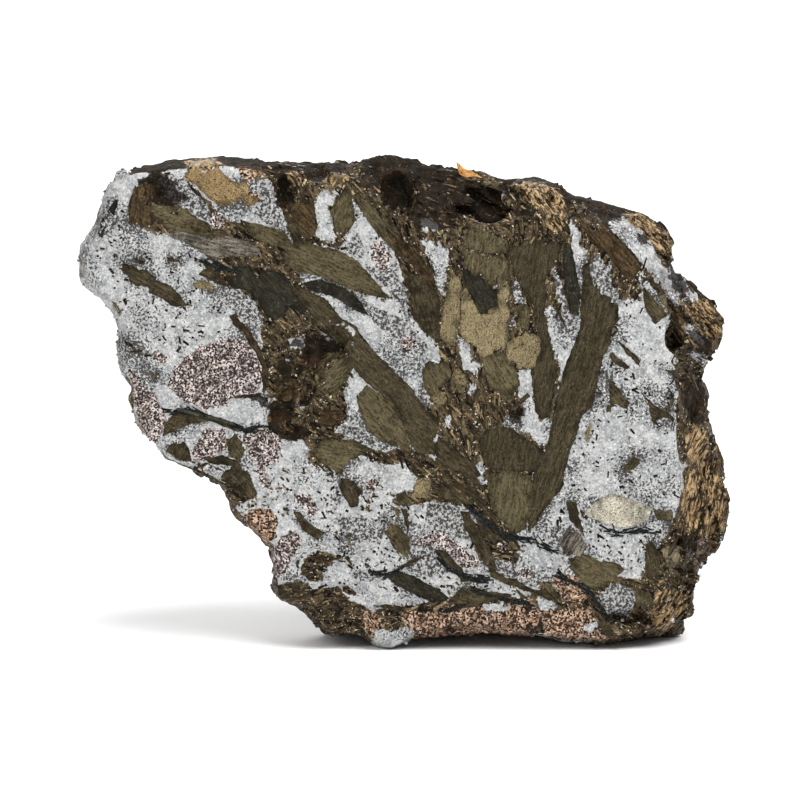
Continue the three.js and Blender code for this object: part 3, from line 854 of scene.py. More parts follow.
def bedding(places, seen, facing):
    """Coordinates along, across and through the blades at places on the stone, in millimetres."""
    away = (seen - FAN_CENTRE) / POINTS_PER_MM
    turn = np.arctan2(-away[:, 1], away[:, 0])
    beds = np.stack((np.linalg.norm(away, axis=1), FAN_RADIUS * turn, places[:, 1] / MM), axis=1)
    for degrees, _, text in RIM_GRAIN:
        inside = depth_inside(seen, outline(text)) > 0
        angle = math.radians(degrees)
        level = math.cos(angle)
        steep = math.sin(angle)
        axes = np.array(((level, 0, steep), (-steep, 0, level), (0, 1, 0)))
        beds[inside] = places[inside] @ axes.T / MM
    for i in np.nonzero(facing < TURNED_AWAY)[0]:
        place = Vector(places[i])
        run = patch_run(place)
        side = run.orthogonal().normalized()
        beds[i] = (place.dot(run) / MM, place.dot(side) / MM, place.dot(run.cross(side)) / MM)
    return beds


# Materials


class Shader:
    """A small hand for laying out shader nodes in a tree."""

    def __init__(self, tree):
        self.tree = tree
        self.column = 0

    def feed(self, socket, value):
        """Links a socket to an output, or gives it a plain value."""
        if isinstance(value, bpy.types.NodeSocket):
            self.tree.links.new(value, socket)
        else:
            socket.default_value = value

    def node(self, kind, inputs=None, **values):
        """A node with some of its properties and inputs set."""
        made = self.tree.nodes.new(kind)
        made.location = (self.column * COLUMN_WIDTH, -(self.column % NODE_ROWS) * ROW_HEIGHT)
        self.column += 1
        for name, value in values.items():
            setattr(made, name, value)
        for name, value in (inputs or {}).items():
            self.feed(made.inputs[name], value)
        return made

    def math(self, operation, *terms):
        """The result of one operation on up to three terms."""
        return self.node("ShaderNodeMath", dict(enumerate(terms)), operation=operation).outputs[0]

    def mix(self, share, first, second):
        """The first colour where the share is 0, the second where it is 1."""
        made = self.node("ShaderNodeMix", data_type="RGBA")
        self.feed(made.inputs[0], share)
        self.feed(made.inputs[6], first)
        self.feed(made.inputs[7], second)
        return made.outputs[2]

    def ramp(self, value, low, high, top=1.0):
        """A smooth rise from 0 at low to the top at high, or a fall where low is past high."""
        inputs = {"Value": value, "From Min": low, "From Max": high, "To Max": top}
        return self.node("ShaderNodeMapRange", inputs, interpolation_type="SMOOTHSTEP").outputs["Result"]

    def noise(self, place, scale, detail, roughness=0.5, distortion=0.0):
        """Cloudy values about 0.5, with so many clouds to the millimetre."""
        inputs = {"Vector": place, "Scale": scale, "Detail": detail}
        inputs.update({"Roughness": roughness, "Distortion": distortion})
        return self.node("ShaderNodeTexNoise", inputs).outputs["Fac"]

    def stretched(self, vector, shares):
        """A vector with each part multiplied by its own share."""
        made = self.node("ShaderNodeVectorMath", {0: vector, 1: shares}, operation="MULTIPLY")
        return made.outputs["Vector"]

    def millimetres(self):
        """The place on the piece, in millimetres."""
        place = self.node("ShaderNodeTexCoord").outputs["Object"]
        scaled = self.node("ShaderNodeVectorMath", {0: place, "Scale": 1 / MM}, operation="SCALE")
        return scaled.outputs["Vector"]

    def stored(self, name, output="Fac"):
        """A value, vector or colour that the mesh stores under a name."""
        return self.node("ShaderNodeAttribute", attribute_name=name).outputs[output]

    def group(self, tree, inputs):
        """A node group placed with its own inputs."""
        return self.node("ShaderNodeGroup", inputs, node_tree=tree).outputs


def node_group(name, inputs, outputs, lay_out):
    """A node group with named sockets, built once."""
    if name in bpy.data.node_groups:
        return bpy.data.node_groups[name]
    group = bpy.data.node_groups.new(name, "ShaderNodeTree")
    for label, kind, default in inputs:
        socket = group.interface.new_socket(label, in_out="INPUT", socket_type=kind)
        if default is not None:
            socket.default_value = default
    for label, kind in outputs:
        group.interface.new_socket(label, in_out="OUTPUT", socket_type=kind)
    shader = Shader(group)
    start = shader.node("NodeGroupInput")
    end = shader.node("NodeGroupOutput")
    for label, socket in lay_out(shader, start.outputs).items():
        group.links.new(socket, end.inputs[label])
    end.location = (shader.column * COLUMN_WIDTH, 0)
    return group


def ragged_mask():
    """Where a patch lies, with a crumbly edge."""

    def lay_out(shader, given):
        crumbs = shader.noise(given["Place"], given["Fineness"], 3.0)
        wander = shader.math("SUBTRACT", crumbs, 0.5)
        depth = shader.math("MULTIPLY_ADD", wander, given["Raggedness"], given["Depth"])
        return {"Mask": shader.ramp(depth, -0.12, 0.12)}

    inputs = [
        ("Place", "NodeSocketVector", None),
        ("Depth", "NodeSocketFloat", 0.0),
        ("Raggedness", "NodeSocketFloat", 2.0),
        ("Fineness", "NodeSocketFloat", 0.9),
    ]
    return node_group("Ragged patch", inputs, [("Mask", "NodeSocketFloat")], lay_out)


def granules():
    """A mass of small crystal grains in three colours."""

    def lay_out(shader, given):
        scale = shader.math("DIVIDE", 1.0, given["Grain size"])
        cells = shader.node("ShaderNodeTexVoronoi", {"Vector": given["Place"], "Scale": scale})
        split = shader.node("ShaderNodeSeparateColor", {"Color": cells.outputs["Color"]})
        pale = shader.mix(shader.ramp(split.outputs["Red"], 0.3, 0.75), given["Middle"], given["Pale"])
        both = shader.mix(shader.ramp(split.outputs["Green"], 0.53, 0.63), pale, given["Dark"])
        drift = shader.noise(given["Place"], 0.45, 6.0, 0.7)
        return {"Color": shader.mix(shader.ramp(drift, 0.58, 0.36, 0.7), both, given["Dark"])}

    inputs = [
        ("Place", "NodeSocketVector", None),
        ("Grain size", "NodeSocketFloat", 0.8),
        ("Pale", "NodeSocketColor", (0.6, 0.5, 0.45, 1)),
        ("Middle", "NodeSocketColor", (0.4, 0.3, 0.27, 1)),
        ("Dark", "NodeSocketColor", (0.06, 0.035, 0.028, 1)),
    ]
    return node_group("Granules", inputs, [("Color", "NodeSocketColor")], lay_out)


def streaks():
    """The fine lines of split mica-like blades, with painted glints, along the first coordinate of the
    grain.
    """

    def lay_out(shader, given):
        lines = shader.noise(shader.stretched(given["Grain"], (0.45, 2.3, 1.0)), 1.0, 5.0, distortion=0.35)
        lined = shader.math("MULTIPLY", lines, shader.math("SUBTRACT", 1.0, given["Foil"]))
        crinkles = shader.noise(given["Grain"], 3.2, 4.0, 0.65)
        height = shader.math("ADD", lined, shader.math("MULTIPLY", crinkles, given["Foil"]))
        colour = shader.mix(shader.ramp(height, 0.39, 0.61), given["Dark"], given["Light"])
        flecks = shader.noise(shader.stretched(given["Grain"], (1.7, 3.0, 1.0)), 1.0, 1.5, 0.6)
        colour = shader.mix(shader.ramp(flecks, 0.43, 0.32, 0.8), colour, given["Crack"])
        # Painted highlights: sparse pale glints along the grain.
        colour = shader.mix(shader.ramp(flecks, 0.6, 0.76, 0.16), colour, PAINTED_GLINT)
        return {"Color": colour, "Height": height}

    inputs = [
        ("Grain", "NodeSocketVector", None),
        ("Dark", "NodeSocketColor", (0.05, 0.04, 0.02, 1)),
        ("Light", "NodeSocketColor", (0.1, 0.08, 0.045, 1)),
        ("Crack", "NodeSocketColor", (0.012, 0.009, 0.006, 1)),
        ("Foil", "NodeSocketFloat", 0.4),
    ]
    outputs = [("Color", "NodeSocketColor"), ("Height", "NodeSocketFloat")]
    return node_group("Blade streaks", inputs, outputs, lay_out)


def new_material(name):
    """An empty node material and a hand to lay out its nodes."""
    material = bpy.data.materials.new(name)
    material.use_nodes = True
    material.node_tree.nodes.clear()
    return material, Shader(material.node_tree)


def close_material(shader, colour, height, roughness, bump, specular, metal=0.0):
    """The surface itself: colour, gloss and a little relief."""
    relief = shader.node("ShaderNodeBump", {"Height": height, "Strength": bump, "Distance": RELIEF})
    inputs = {"Base Color": colour, "Roughness": roughness, "Normal": relief.outputs["Normal"]}
    inputs.update({"Specular IOR Level": specular, "Metallic": metal})
    surface = shader.node("ShaderNodeBsdfPrincipled", inputs)
    shader.node("ShaderNodeOutputMaterial", {"Surface": surface.outputs["BSDF"]})


def white_matrix(shader, place, settings):
    """Colour of the white matrix, with grey veils, frost, pores and black specks, and its relief."""
    veil = shader.noise(place, 0.55, 5.0, 0.66)
    sugar = shader.noise(place, 2.4, 3.0, 0.68)
    white = shader.mix(shader.ramp(veil, 0.36, 0.6), settings.matrix_shade, settings.matrix_colour)
    white = shader.mix(shader.ramp(sugar, 0.52, 0.68, 0.7), white, settings.matrix_light)
    white = shader.mix(shader.ramp(sugar, 0.46, 0.3, 0.62), white, settings.matrix_dark)
    crowding = shader.ramp(shader.noise(place, 0.14, 3.0), 0.38, 0.66, 0.175)
    crowding = shader.math("ADD", crowding, shader.ramp(shader.stored("blades"), -3.0, 0.4, 0.075))
    specks = shader.math("ADD", shader.noise(place, 2.0, 3.5, 0.72), crowding)
    return shader.mix(shader.ramp(specks, 0.66, 0.71, 0.92), white, (0.022, 0.02, 0.018, 1)), sugar


def broken_blades(shader, place):
    """Colours of the broken bronze and of its golden places, with painted shade in pits and cracks and
    painted highlights, and the bronze's relief.
    """
    grain = shader.stored("grain", "Vector")
    inputs = {"Grain": grain, "Dark": (0.022, 0.015, 0.008, 1), "Light": (0.085, 0.061, 0.033, 1)}
    bronze = shader.group(streaks(), inputs)
    inputs = {"Grain": grain, "Dark": (0.045, 0.028, 0.012, 1), "Light": (0.42, 0.285, 0.145, 1)}
    gold = shader.group(streaks(), {**inputs, "Foil": 0.15})
    # Painted shade: where the pits noise runs low the broken bronze goes black in its crevices; where it
    # runs high, a lighter gold-brown, partly the bronze's own colour and partly painted highlight.
    pits = shader.noise(place, 0.85, 6.0, 0.7)
    brown = shader.mix(shader.ramp(pits, 0.49, 0.43), bronze["Color"], (0.004, 0.003, 0.002, 1))
    brown = shader.mix(shader.ramp(pits, 0.56, 0.64, 0.7), brown, (0.2, 0.15, 0.085, 1))
    # Painted highlights: small pale glints on the broken bronze.
    glints = shader.noise(place, 1.9, 3.0, 0.6)
    brown = shader.mix(shader.ramp(glints, 0.63, 0.66), brown, (0.6, 0.54, 0.42, 1))
    # Painted shade: near-black in the cracks between the golden streaks and in the pits.
    cracks = shader.ramp(gold["Height"], 0.5, 0.4, 0.85)
    gilded = shader.mix(cracks, gold["Color"], (0.012, 0.007, 0.004, 1))
    gilded = shader.mix(shader.ramp(pits, 0.46, 0.38), gilded, (0.006, 0.004, 0.002, 1))
    return brown, gilded, bronze["Height"]


def rock_material(settings):
    """White matrix, pinkish and rust-coloured grains, broken bronze and painted shade in the hollows and on
    the up-facing rim, on one stone.
    """
    material, shader = new_material("white and bronze rock")
    place = shader.millimetres()

    def patch(name, raggedness, fineness):
        inputs = {"Place": place, "Depth": shader.stored(name)}
        inputs.update({"Raggedness": raggedness, "Fineness": fineness})
        return shader.group(ragged_mask(), inputs)["Mask"]

    def grains(size, pale, middle, dark):
        inputs = {"Place": place, "Grain size": size, "Pale": pale, "Middle": middle, "Dark": dark}
        return shader.group(granules(), inputs)["Color"]

    white, sugar = white_matrix(shader, place, settings)
    bronze, gilded, lines = broken_blades(shader, place)
    speckle = shader.ramp(shader.noise(place, 1.9, 4.0, 0.75), 0.46, 0.58)
    speckled = shader.mix(speckle, (0.036, 0.033, 0.03, 1), (0.4, 0.4, 0.395, 1))
    pink = grains(0.3, (0.62, 0.555, 0.525, 1), (0.2, 0.15, 0.13, 1), (0.024, 0.018, 0.016, 1))
    rust = grains(0.33, (0.56, 0.42, 0.315, 1), (0.235, 0.128, 0.072, 1), (0.022, 0.013, 0.008, 1))

    brown = patch("bronze", 2.4, 0.8)
    colour = shader.mix(brown, white, bronze)
    colour = shader.mix(patch("speckled", 1.6, 1.2), colour, speckled)
    colour = shader.mix(patch("pink", 2.0, 0.9), colour, pink)
    colour = shader.mix(patch("rust", 2.2, 0.8), colour, rust)
    colour = shader.mix(patch("gold", 2.4, 0.7), colour, gilded)
    # Painted shade: near-black in the hollows and on the broken rim where it faces up.
    painted_shade = patch("black", 3.4, 0.8)
    colour = shader.mix(shader.math("MULTIPLY", painted_shade, 0.88), colour, (0.007, 0.005, 0.003, 1))
    stain = shader.ramp(shader.noise(place, 0.3, 5.0, 0.65), 0.5, 0.66, 0.5)
    stain = shader.math("MULTIPLY", stain, shader.stored("broken"))
    colour = shader.mix(stain, colour, (0.05, 0.026, 0.012, 1))
    height = shader.math("MULTIPLY_ADD", lines, brown, sugar)
    roughness = shader.math("MULTIPLY_ADD", brown, -0.2, 0.62)
    roughness = shader.math("MULTIPLY_ADD", painted_shade, 0.3, roughness)
    close_material(shader, colour, height, roughness, bump=0.7, specular=0.07)
    return material


def blade_material(name, dark, light, metal, gloss, foil=0.4):
    """Bronze blades with a silky sheen, streaked along their grain."""
    material, shader = new_material(name)
    inputs = {"Grain": shader.stored("grain", "Vector"), "Dark": dark, "Light": light, "Foil": foil}
    lines = shader.group(streaks(), inputs)
    blotch = shader.noise(shader.millimetres(), 0.4, 6.0, 0.65)
    tone = shader.math("MULTIPLY_ADD", blotch, 1.1, shader.stored("tone"))
    crumble = shader.math("MULTIPLY_ADD", shader.math("SUBTRACT", blotch, 0.5), 4.0, shader.stored("edge"))
    edge = shader.math("ADD", 0.5, shader.ramp(crumble, -0.3, 0.9, 0.5))
    inputs = {"Color": lines["Color"], "Value": shader.math("MULTIPLY", tone, edge)}
    shade = shader.node("ShaderNodeHueSaturation", inputs).outputs["Color"]
    roughness = shader.math("MULTIPLY_ADD", lines["Height"], 0.2, gloss)
    close_material(shader, shade, lines["Height"], roughness, bump=0.45, specular=0.15, metal=metal)
    return material


def crumb_material():
    """Loose-looking grains of matrix at the broken edges."""
    material, shader = new_material("crumbs")
    frost = shader.noise(shader.millimetres(), 1.5, 4.0)
    tint = shader.stored("tint", "Color")
    colour = shader.mix(shader.ramp(frost, 0.62, 0.35), tint, (0.08, 0.06, 0.05, 1))
    close_material(shader, colour, frost, 0.5, bump=0.4, specular=0.5)
    return material


def needle_material():
    """Black-green needles with a glassy gloss."""
    material, shader = new_material("black needles")
    mottle = shader.noise(shader.millimetres(), 2.0, 3.0)
    colour = shader.mix(shader.ramp(mottle, 0.45, 0.7), (0.004, 0.005, 0.005, 1), (0.02, 0.026, 0.024, 1))
    close_material(shader, colour, mottle, 0.5, bump=0.3, specular=0.08)
    return material


def floor_material(settings):
    """Plain pale floor with the faintest mottle."""
    material, shader = new_material("pale floor")
    mottle = shader.noise(shader.millimetres(), 0.004, 2.0)
    paler = tuple(min(1.0, 1.02 * part) for part in settings.floor_colour[:3]) + (1,)
    colour = shader.mix(mottle, settings.floor_colour, paler)
    close_material(shader, colour, mottle, 0.7, bump=0.0, specular=0.2)
    return material


# Settings


class SpecimenSettings(bpy.types.PropertyGroup):
    """What a user would change about the specimen."""

    seed: IntProperty(name="Seed", description="Start of the random choices", default=11, min=0)
    skin: FloatProperty(
        name="Skin",
        description="Edge length of the rock's fine mesh",
        default=0.68 * MM,
        unit="LENGTH",
        precision=5,
    )
    step: FloatProperty(
        name="Step",
        description="Height of the steps between broken blades",
        default=0.6 * MM,
        unit="LENGTH",
        precision=5,
    )
    lath: FloatProperty(
        name="Lath",
        description="Usual width of the laths in a blade",
        default=1.3 * MM,
        unit="LENGTH",
        precision=5,
    )
    proud: FloatProperty(
        name="Proud",
        description="How far blades stand out of the matrix",
        default=0.05 * MM,
        unit="LENGTH",
        precision=5,
    )
    matrix_colour: FloatVectorProperty(
        name="Matrix",
        description="White matrix",
        default=(0.41, 0.412, 0.405, 1),
        subtype="COLOR",
        size=4,
    )
    matrix_shade: FloatVectorProperty(
        name="Matrix shade",
        description="Greyer matrix",
        default=(0.235, 0.243, 0.248, 1),
        subtype="COLOR",
        size=4,
    )
    matrix_light: FloatVectorProperty(
        name="Matrix frost",
        description="Whitest grains",
        default=(0.72, 0.72, 0.7, 1),
        subtype="COLOR",
        size=4,
    )
    matrix_dark: FloatVectorProperty(
        name="Matrix pits",
        description="Darkest pores",
        default=(0.075, 0.076, 0.075, 1),
        subtype="COLOR",
        size=4,
    )
    floor_colour: FloatVectorProperty(
        name="Floor",
        description="Pale floor",
        default=(0.93, 0.93, 0.93, 1),
        subtype="COLOR",
        size=4,
    )
    sky: FloatProperty(
        name="Sky",
        description="Strength of the light from all round",
        default=0.5,
        min=0,
    )
    lamp: FloatProperty(
        name="Lamp",
        description="Power of the soft light overhead",
        default=14.0,
        unit="POWER",
    )


# Pieces


class SPECIMEN_OT_rock(bpy.types.Operator):
    """Makes the stone itself from the solid, with its broken rim, hollows and patches"""

    bl_idname = "specimen.rock"
    bl_label = "Rock"

    def execute(self, context):
        settings = context.scene.specimen
        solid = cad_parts[NODE]
        rock = solid.copy()
        rock.data = rock.data.copy()
        rename(rock, "rock")
        rock.parent = None
        rock.matrix_world = solid.matrix_world.copy()
        context.collection.objects.link(rock)
        only(rock)
        bpy.ops.object.transform_apply(location=True, rotation=True, scale=True)
        bpy.ops.object.mode_set(mode="EDIT")
        bpy.ops.mesh.select_all(action="SELECT")
        bpy.ops.mesh.remove_doubles(threshold=0.001 * MM)
        bpy.ops.object.mode_set(mode="OBJECT")
        apply_modifier(rock, "REMESH", mode="VOXEL", voxel_size=settings.skin, use_smooth_shade=True)
        self.break_surface(rock.data, settings)
        self.paint(rock.data)
        only(rock)
        bpy.ops.object.shade_smooth_by_angle(angle=SHARP_ANGLE)
        settle(rock, rock_material(settings))
        return {"FINISHED"}

    def break_surface(self, mesh, settings):
        """Steps of split blades and crumbly matrix on all but the ground face and the feet."""
        places, normals = vertex_arrays(mesh)
        seen = seen_from_front(places)
        brown = depth_in_any(seen, BROWN_GROUND)
        beds = bedding(places, seen, -(normals @ np.array(SIGHT))) * MM / settings.lath
        behind = (places[:, 1] - LOW.y) / MM
        filled = (depth_in_any(seen, SHALLOW) > 0) & (normals[:, 1] < 0) & (behind < HOLLOW_REACH)
        places[filled, 1] = LOW.y + (places[filled, 1] - LOW.y) * LEFT_HOLLOW
        rough = smooth_step(behind, GROUND_SKIN, 1.6) * smooth_step(places[:, 2] / MM, 0.15, 1.2)
        places[behind < GROUND_SKIN, 1] = LOW.y
        for i in np.nonzero(rough > 0)[0]:
            place = Vector(places[i])
            normal = Vector(normals[i])
            lift = CRUMBLE * noise.fractal(place / CRUMBLE_SIZE, 0.9, 2.1, 3)
            lift += SWELL * noise.noise(place / SWELL_SIZE)
            in_sight = normal.dot(SIGHT) < 0
            bladed = brown[i] > 0 if in_sight else bladedness(place) > -0.1
            if bladed:
                lift += settings.step * self.bed_step(place, *beds[i])
            places[i] += np.array(normal) * rough[i] * lift
        places[:, 2] = np.maximum(places[:, 2], LOW.z)
        places[:, 1] = np.maximum(places[:, 1], LOW.y)
        mesh.vertices.foreach_set("co", places.astype(np.float32).ravel())
        mesh.update()

    def bed_step(self, place, along, across, through):
        """How high the broken lath at a place stands: 0 to 1, the same all over the lath."""
        row = math.floor(across + 0.6 * noise.noise(place / BED_WANDER))
        return noise.cell(Vector((along / 7 + 0.37 * row, row + 0.5, through / 3)))

    def paint(self, mesh):
        """Marks where each kind of stone lies, and where shade is painted, as depths inside its patches in
        millimetres.
        """
        places, normals = vertex_arrays(mesh)
        seen = seen_from_front(places)
        facing = -(normals @ np.array(SIGHT))
        front = facing > 0.05
        wander = np.array([bladedness(Vector(place)) for place in places]) * 0.8
        blush = np.array([noise.noise(Vector(place) / BLUSH_SIZE + BLUSH_START) for place in places])
        behind = (places[:, 1] - LOW.y) / MM
        lying = np.clip(normals[:, 2], 0, 1)
        pale_rim = depth_in_any(seen, WHITE_RIM)
        white = np.maximum(depth_in_any(seen, WHITE_GAPS), pale_rim)

        rim = np.where((behind > 0.5) & (pale_rim < 0), 7 * (wander + 0.16 + 0.6 * lying), FAR_OUTSIDE)
        brown = np.minimum(np.maximum(depth_in_any(seen, BROWN_GROUND), rim), -white)
        rust = np.minimum(depth_in_any(seen, RUST_PATCHES), -white)
        gold = np.where(front, depth_in_any(seen, GOLD_PATCHES), 8 * (wander - 0.35))
        # Painted shade on the broken rim where it faces up, in blotches and kept off the golden patches; it
        # is stored with the black hollows.
        painted_shade = np.where((lying > 0.35) & (pale_rim < 0), 8 * (blush + 0.5 * lying - 0.2), NOT_HERE)
        painted_shade = np.minimum(painted_shade, -gold)
        black = np.where(front, depth_in_any(seen, BLACK_HOLLOWS), NOT_HERE)
        set_values(mesh, "bronze", np.where(front, brown, 9 * (wander + 0.1)))
        set_values(mesh, "speckled", np.where(front, depth_in_any(seen, SPECKLED), NOT_HERE))
        set_values(mesh, "pink", np.where(front, depth_in_any(seen, PINK_PATCHES), 9 * (blush - 0.28)))
        set_values(mesh, "rust", np.where(front, rust, -9 * (blush + 0.4)))
        set_values(mesh, "gold", gold)
        set_values(mesh, "black", np.where(behind > 0.5, np.maximum(black, painted_shade), black))
        set_values(mesh, "broken", smooth_step(behind, 0.3, 1.5))
        set_values(mesh, "blades", depth_in_any(seen, blade_outlines()))
        set_values(mesh, "grain", bedding(places, seen, facing), kind="FLOAT_VECTOR")


class SPECIMEN_OT_blades(bpy.types.Operator):
    """Cuts the blades of the ground face from their outlines and splits them into laths"""

    bl_idname = "specimen.blades"
    bl_label = "Blades"

    def execute(self, context):
        settings = context.scene.specimen
        dice = random.Random(settings.seed)
        surface = rock_surface()
        groups = {}
        for tone, grain, text in BLADES:
            groups.setdefault(tone, []).append(self.blade(outline(text), grain, surface, settings, dice))
        for tone, blades in groups.items():
            only(blades[0])
            for blade in blades:
                blade.select_set(True)
            bpy.ops.object.join()
            piece = context.view_layer.objects.active
            rename(piece, tone + "_blades")
            apply_modifier(piece, "SOLIDIFY", thickness=LATH_THICKNESS, offset=-1.0)
            settle(piece, blade_material(tone + " bronze", **TONES[tone]))
        return {"FINISHED"}

    def ragged(self, points, dice):
        """The outline with points added along its edges and pushed about a little, as split edges are."""
        out = []
        for start, end in zip(points, np.roll(points, -1, axis=0)):
            length = np.linalg.norm(end - start)
            steps = max(1, round(length / EDGE_STEP))
            normal = np.array((end[1] - start[1], start[0] - end[0])) / max(length, 1e-6)
            for k in range(steps):
                jitter = dice.uniform(-EDGE_JITTER, EDGE_JITTER)
                out.append(start + (end - start) * k / steps + normal * jitter)
        return np.array(out)

    def blade(self, points, grain, surface, settings, dice):
        """One blade: its outline filled, cut along the grain, each lath set a little higher or lower."""
        edge = self.ragged(points, dice)
        area = np.sum(edge[:, 0] * np.roll(edge[:, 1], -1) - edge[:, 1] * np.roll(edge[:, 0], -1))
        if area > 0:
            edge = edge[::-1]
        blade = flat_polygon(len(edge))
        flat = np.zeros((len(edge), 3), dtype=np.float32)
        flat[:, 0] = edge[:, 0]
        flat[:, 1] = -edge[:, 1]
        blade.data.vertices.foreach_set("co", flat.ravel())
        blade.data.update()
        angle = math.radians(grain)
        run = Vector((math.cos(angle), math.sin(angle), 0))
        side = Vector((-run.y, run.x, 0))
        bpy.ops.object.mode_set(mode="EDIT")
        bpy.ops.mesh.select_all(action="SELECT")
        bpy.ops.mesh.quads_convert_to_tris(ngon_method="BEAUTY")
        self.split(flat @ np.array(side), run, side, settings.lath / MM * POINTS_PER_MM, dice)
        length = flat @ np.array(run)
        for cross in np.arange(length.min() + FIRST_CROSS_CUT, length.max(), CROSS_CUTS):
            bpy.ops.mesh.select_all(action="SELECT")
            bpy.ops.mesh.bisect(plane_co=run * float(cross), plane_no=run)
        bpy.ops.object.mode_set(mode="OBJECT")
        self.lay_on_rock(blade.data, points, run, side, surface, settings, dice)
        return blade

    def split(self, reach, run, side, width, dice):
        """Splits the blade being edited into laths of about one width, along its run."""
        cut = reach.min() + width * dice.uniform(0.5, 1.2)
        while cut < reach.max() - 0.4 * width:
            bpy.ops.mesh.select_all(action="SELECT")
            tilt = run * dice.uniform(-0.05, 0.05)
            bpy.ops.mesh.bisect(plane_co=side * cut, plane_no=side + tilt)
            bpy.ops.mesh.edge_split(type="EDGE")
            cut += width * dice.uniform(0.45, 1.6)

    def lay_on_rock(self, mesh, points, run, side, surface, settings, dice):
        """Carries a flat blade onto the rock and notes its tone, its grain and how near its edge is."""
        flat = np.array([(vertex.co.x, -vertex.co.y) for vertex in mesh.vertices])
        set_values(mesh, "edge", depth_inside(flat, points))
        laths = self.laths(mesh)
        lifts = {lath: settings.proud * dice.uniform(0.6, 2.4) for lath in sorted(set(laths))}
        base = MIDDLE_TONE + dice.uniform(-0.14, 0.14)
        shades = {lath: base + dice.uniform(-0.07, 0.07) for lath in lifts}
        grain = np.zeros((len(mesh.vertices), 3))
        start = dice.uniform(0, GRAIN_RANGE)
        reach = {}
        for vertex in mesh.vertices:
            along = vertex.co.dot(run)
            low, high = reach.get(laths[vertex.index], (along, along))
            reach[laths[vertex.index]] = (min(low, along), max(high, along))
        pulls = {lath: (dice.uniform(-3, 4), dice.uniform(-4, 3)) for lath in lifts}
        for vertex in mesh.vertices:
            lath = laths[vertex.index]
            low, high = reach[lath]
            share = (vertex.co.dot(run) - low) / max(high - low, 1.0)
            first, last = pulls[lath]
            limit = min(1.0, (high - low) / FULL_PULL)
            moved = vertex.co + run * limit * (first * (1 - share) ** 3 + last * share**3)
            grain[vertex.index] = (moved.dot(run) / POINTS_PER_MM, moved.dot(side) / POINTS_PER_MM, start)
            origin = place_in_front((moved.x, -moved.y))
            hit = surface.ray_cast(origin, SIGHT)[0]
            if hit is None:
                hit = origin + SIGHT * STAND_OFF
            rough = min(1.0, (hit.y - LOW.y) / MM)
            vertex.co = hit - SIGHT * (lifts[lath] + ROUGH_LIFT * rough)
        mesh.update()
        set_values(mesh, "tone", [shades[laths[face.vertices[0]]] for face in mesh.polygons], domain="FACE")
        set_values(mesh, "grain", grain, kind="FLOAT_VECTOR")

    def laths(self, mesh):
        """For each vertex, a number that all vertices of its lath share."""
        owner = list(range(len(mesh.vertices)))

        def top(index):
            while owner[index] != index:
                index = owner[index]
            return index

        for edge in mesh.edges:
            first, second = (top(index) for index in edge.vertices)
            owner[max(first, second)] = min(first, second)
        return [top(index) for index in range(len(owner))]


def lath_shape(length, width, thickness, dice):
    """A splintered lath about the origin, its length along X: corners and faces."""
    ends = [dice.uniform(0.75, 1.0) for _ in range(4)]
    half = length / 2
    side = width / 2
    rim = [
        (-half, side * dice.uniform(-0.6, 0.6)),
        (-half * ends[0], -side),
        (half * ends[1], -side * dice.uniform(0.6, 1)),
        (half, side * dice.uniform(-0.6, 0.6)),
        (half * ends[2], side * dice.uniform(0.6, 1)),
        (-half * ends[3], side),
    ]
    corners = [(x, y, -thickness / 2) for x, y in rim] + [(x, y, thickness / 2) for x, y in rim]
    faces = [(5, 4, 3, 2, 1, 0), (6, 7, 8, 9, 10, 11)]
    faces += [(i, (i + 1) % 6, (i + 1) % 6 + 6, i + 6) for i in range(6)]
    return corners, faces


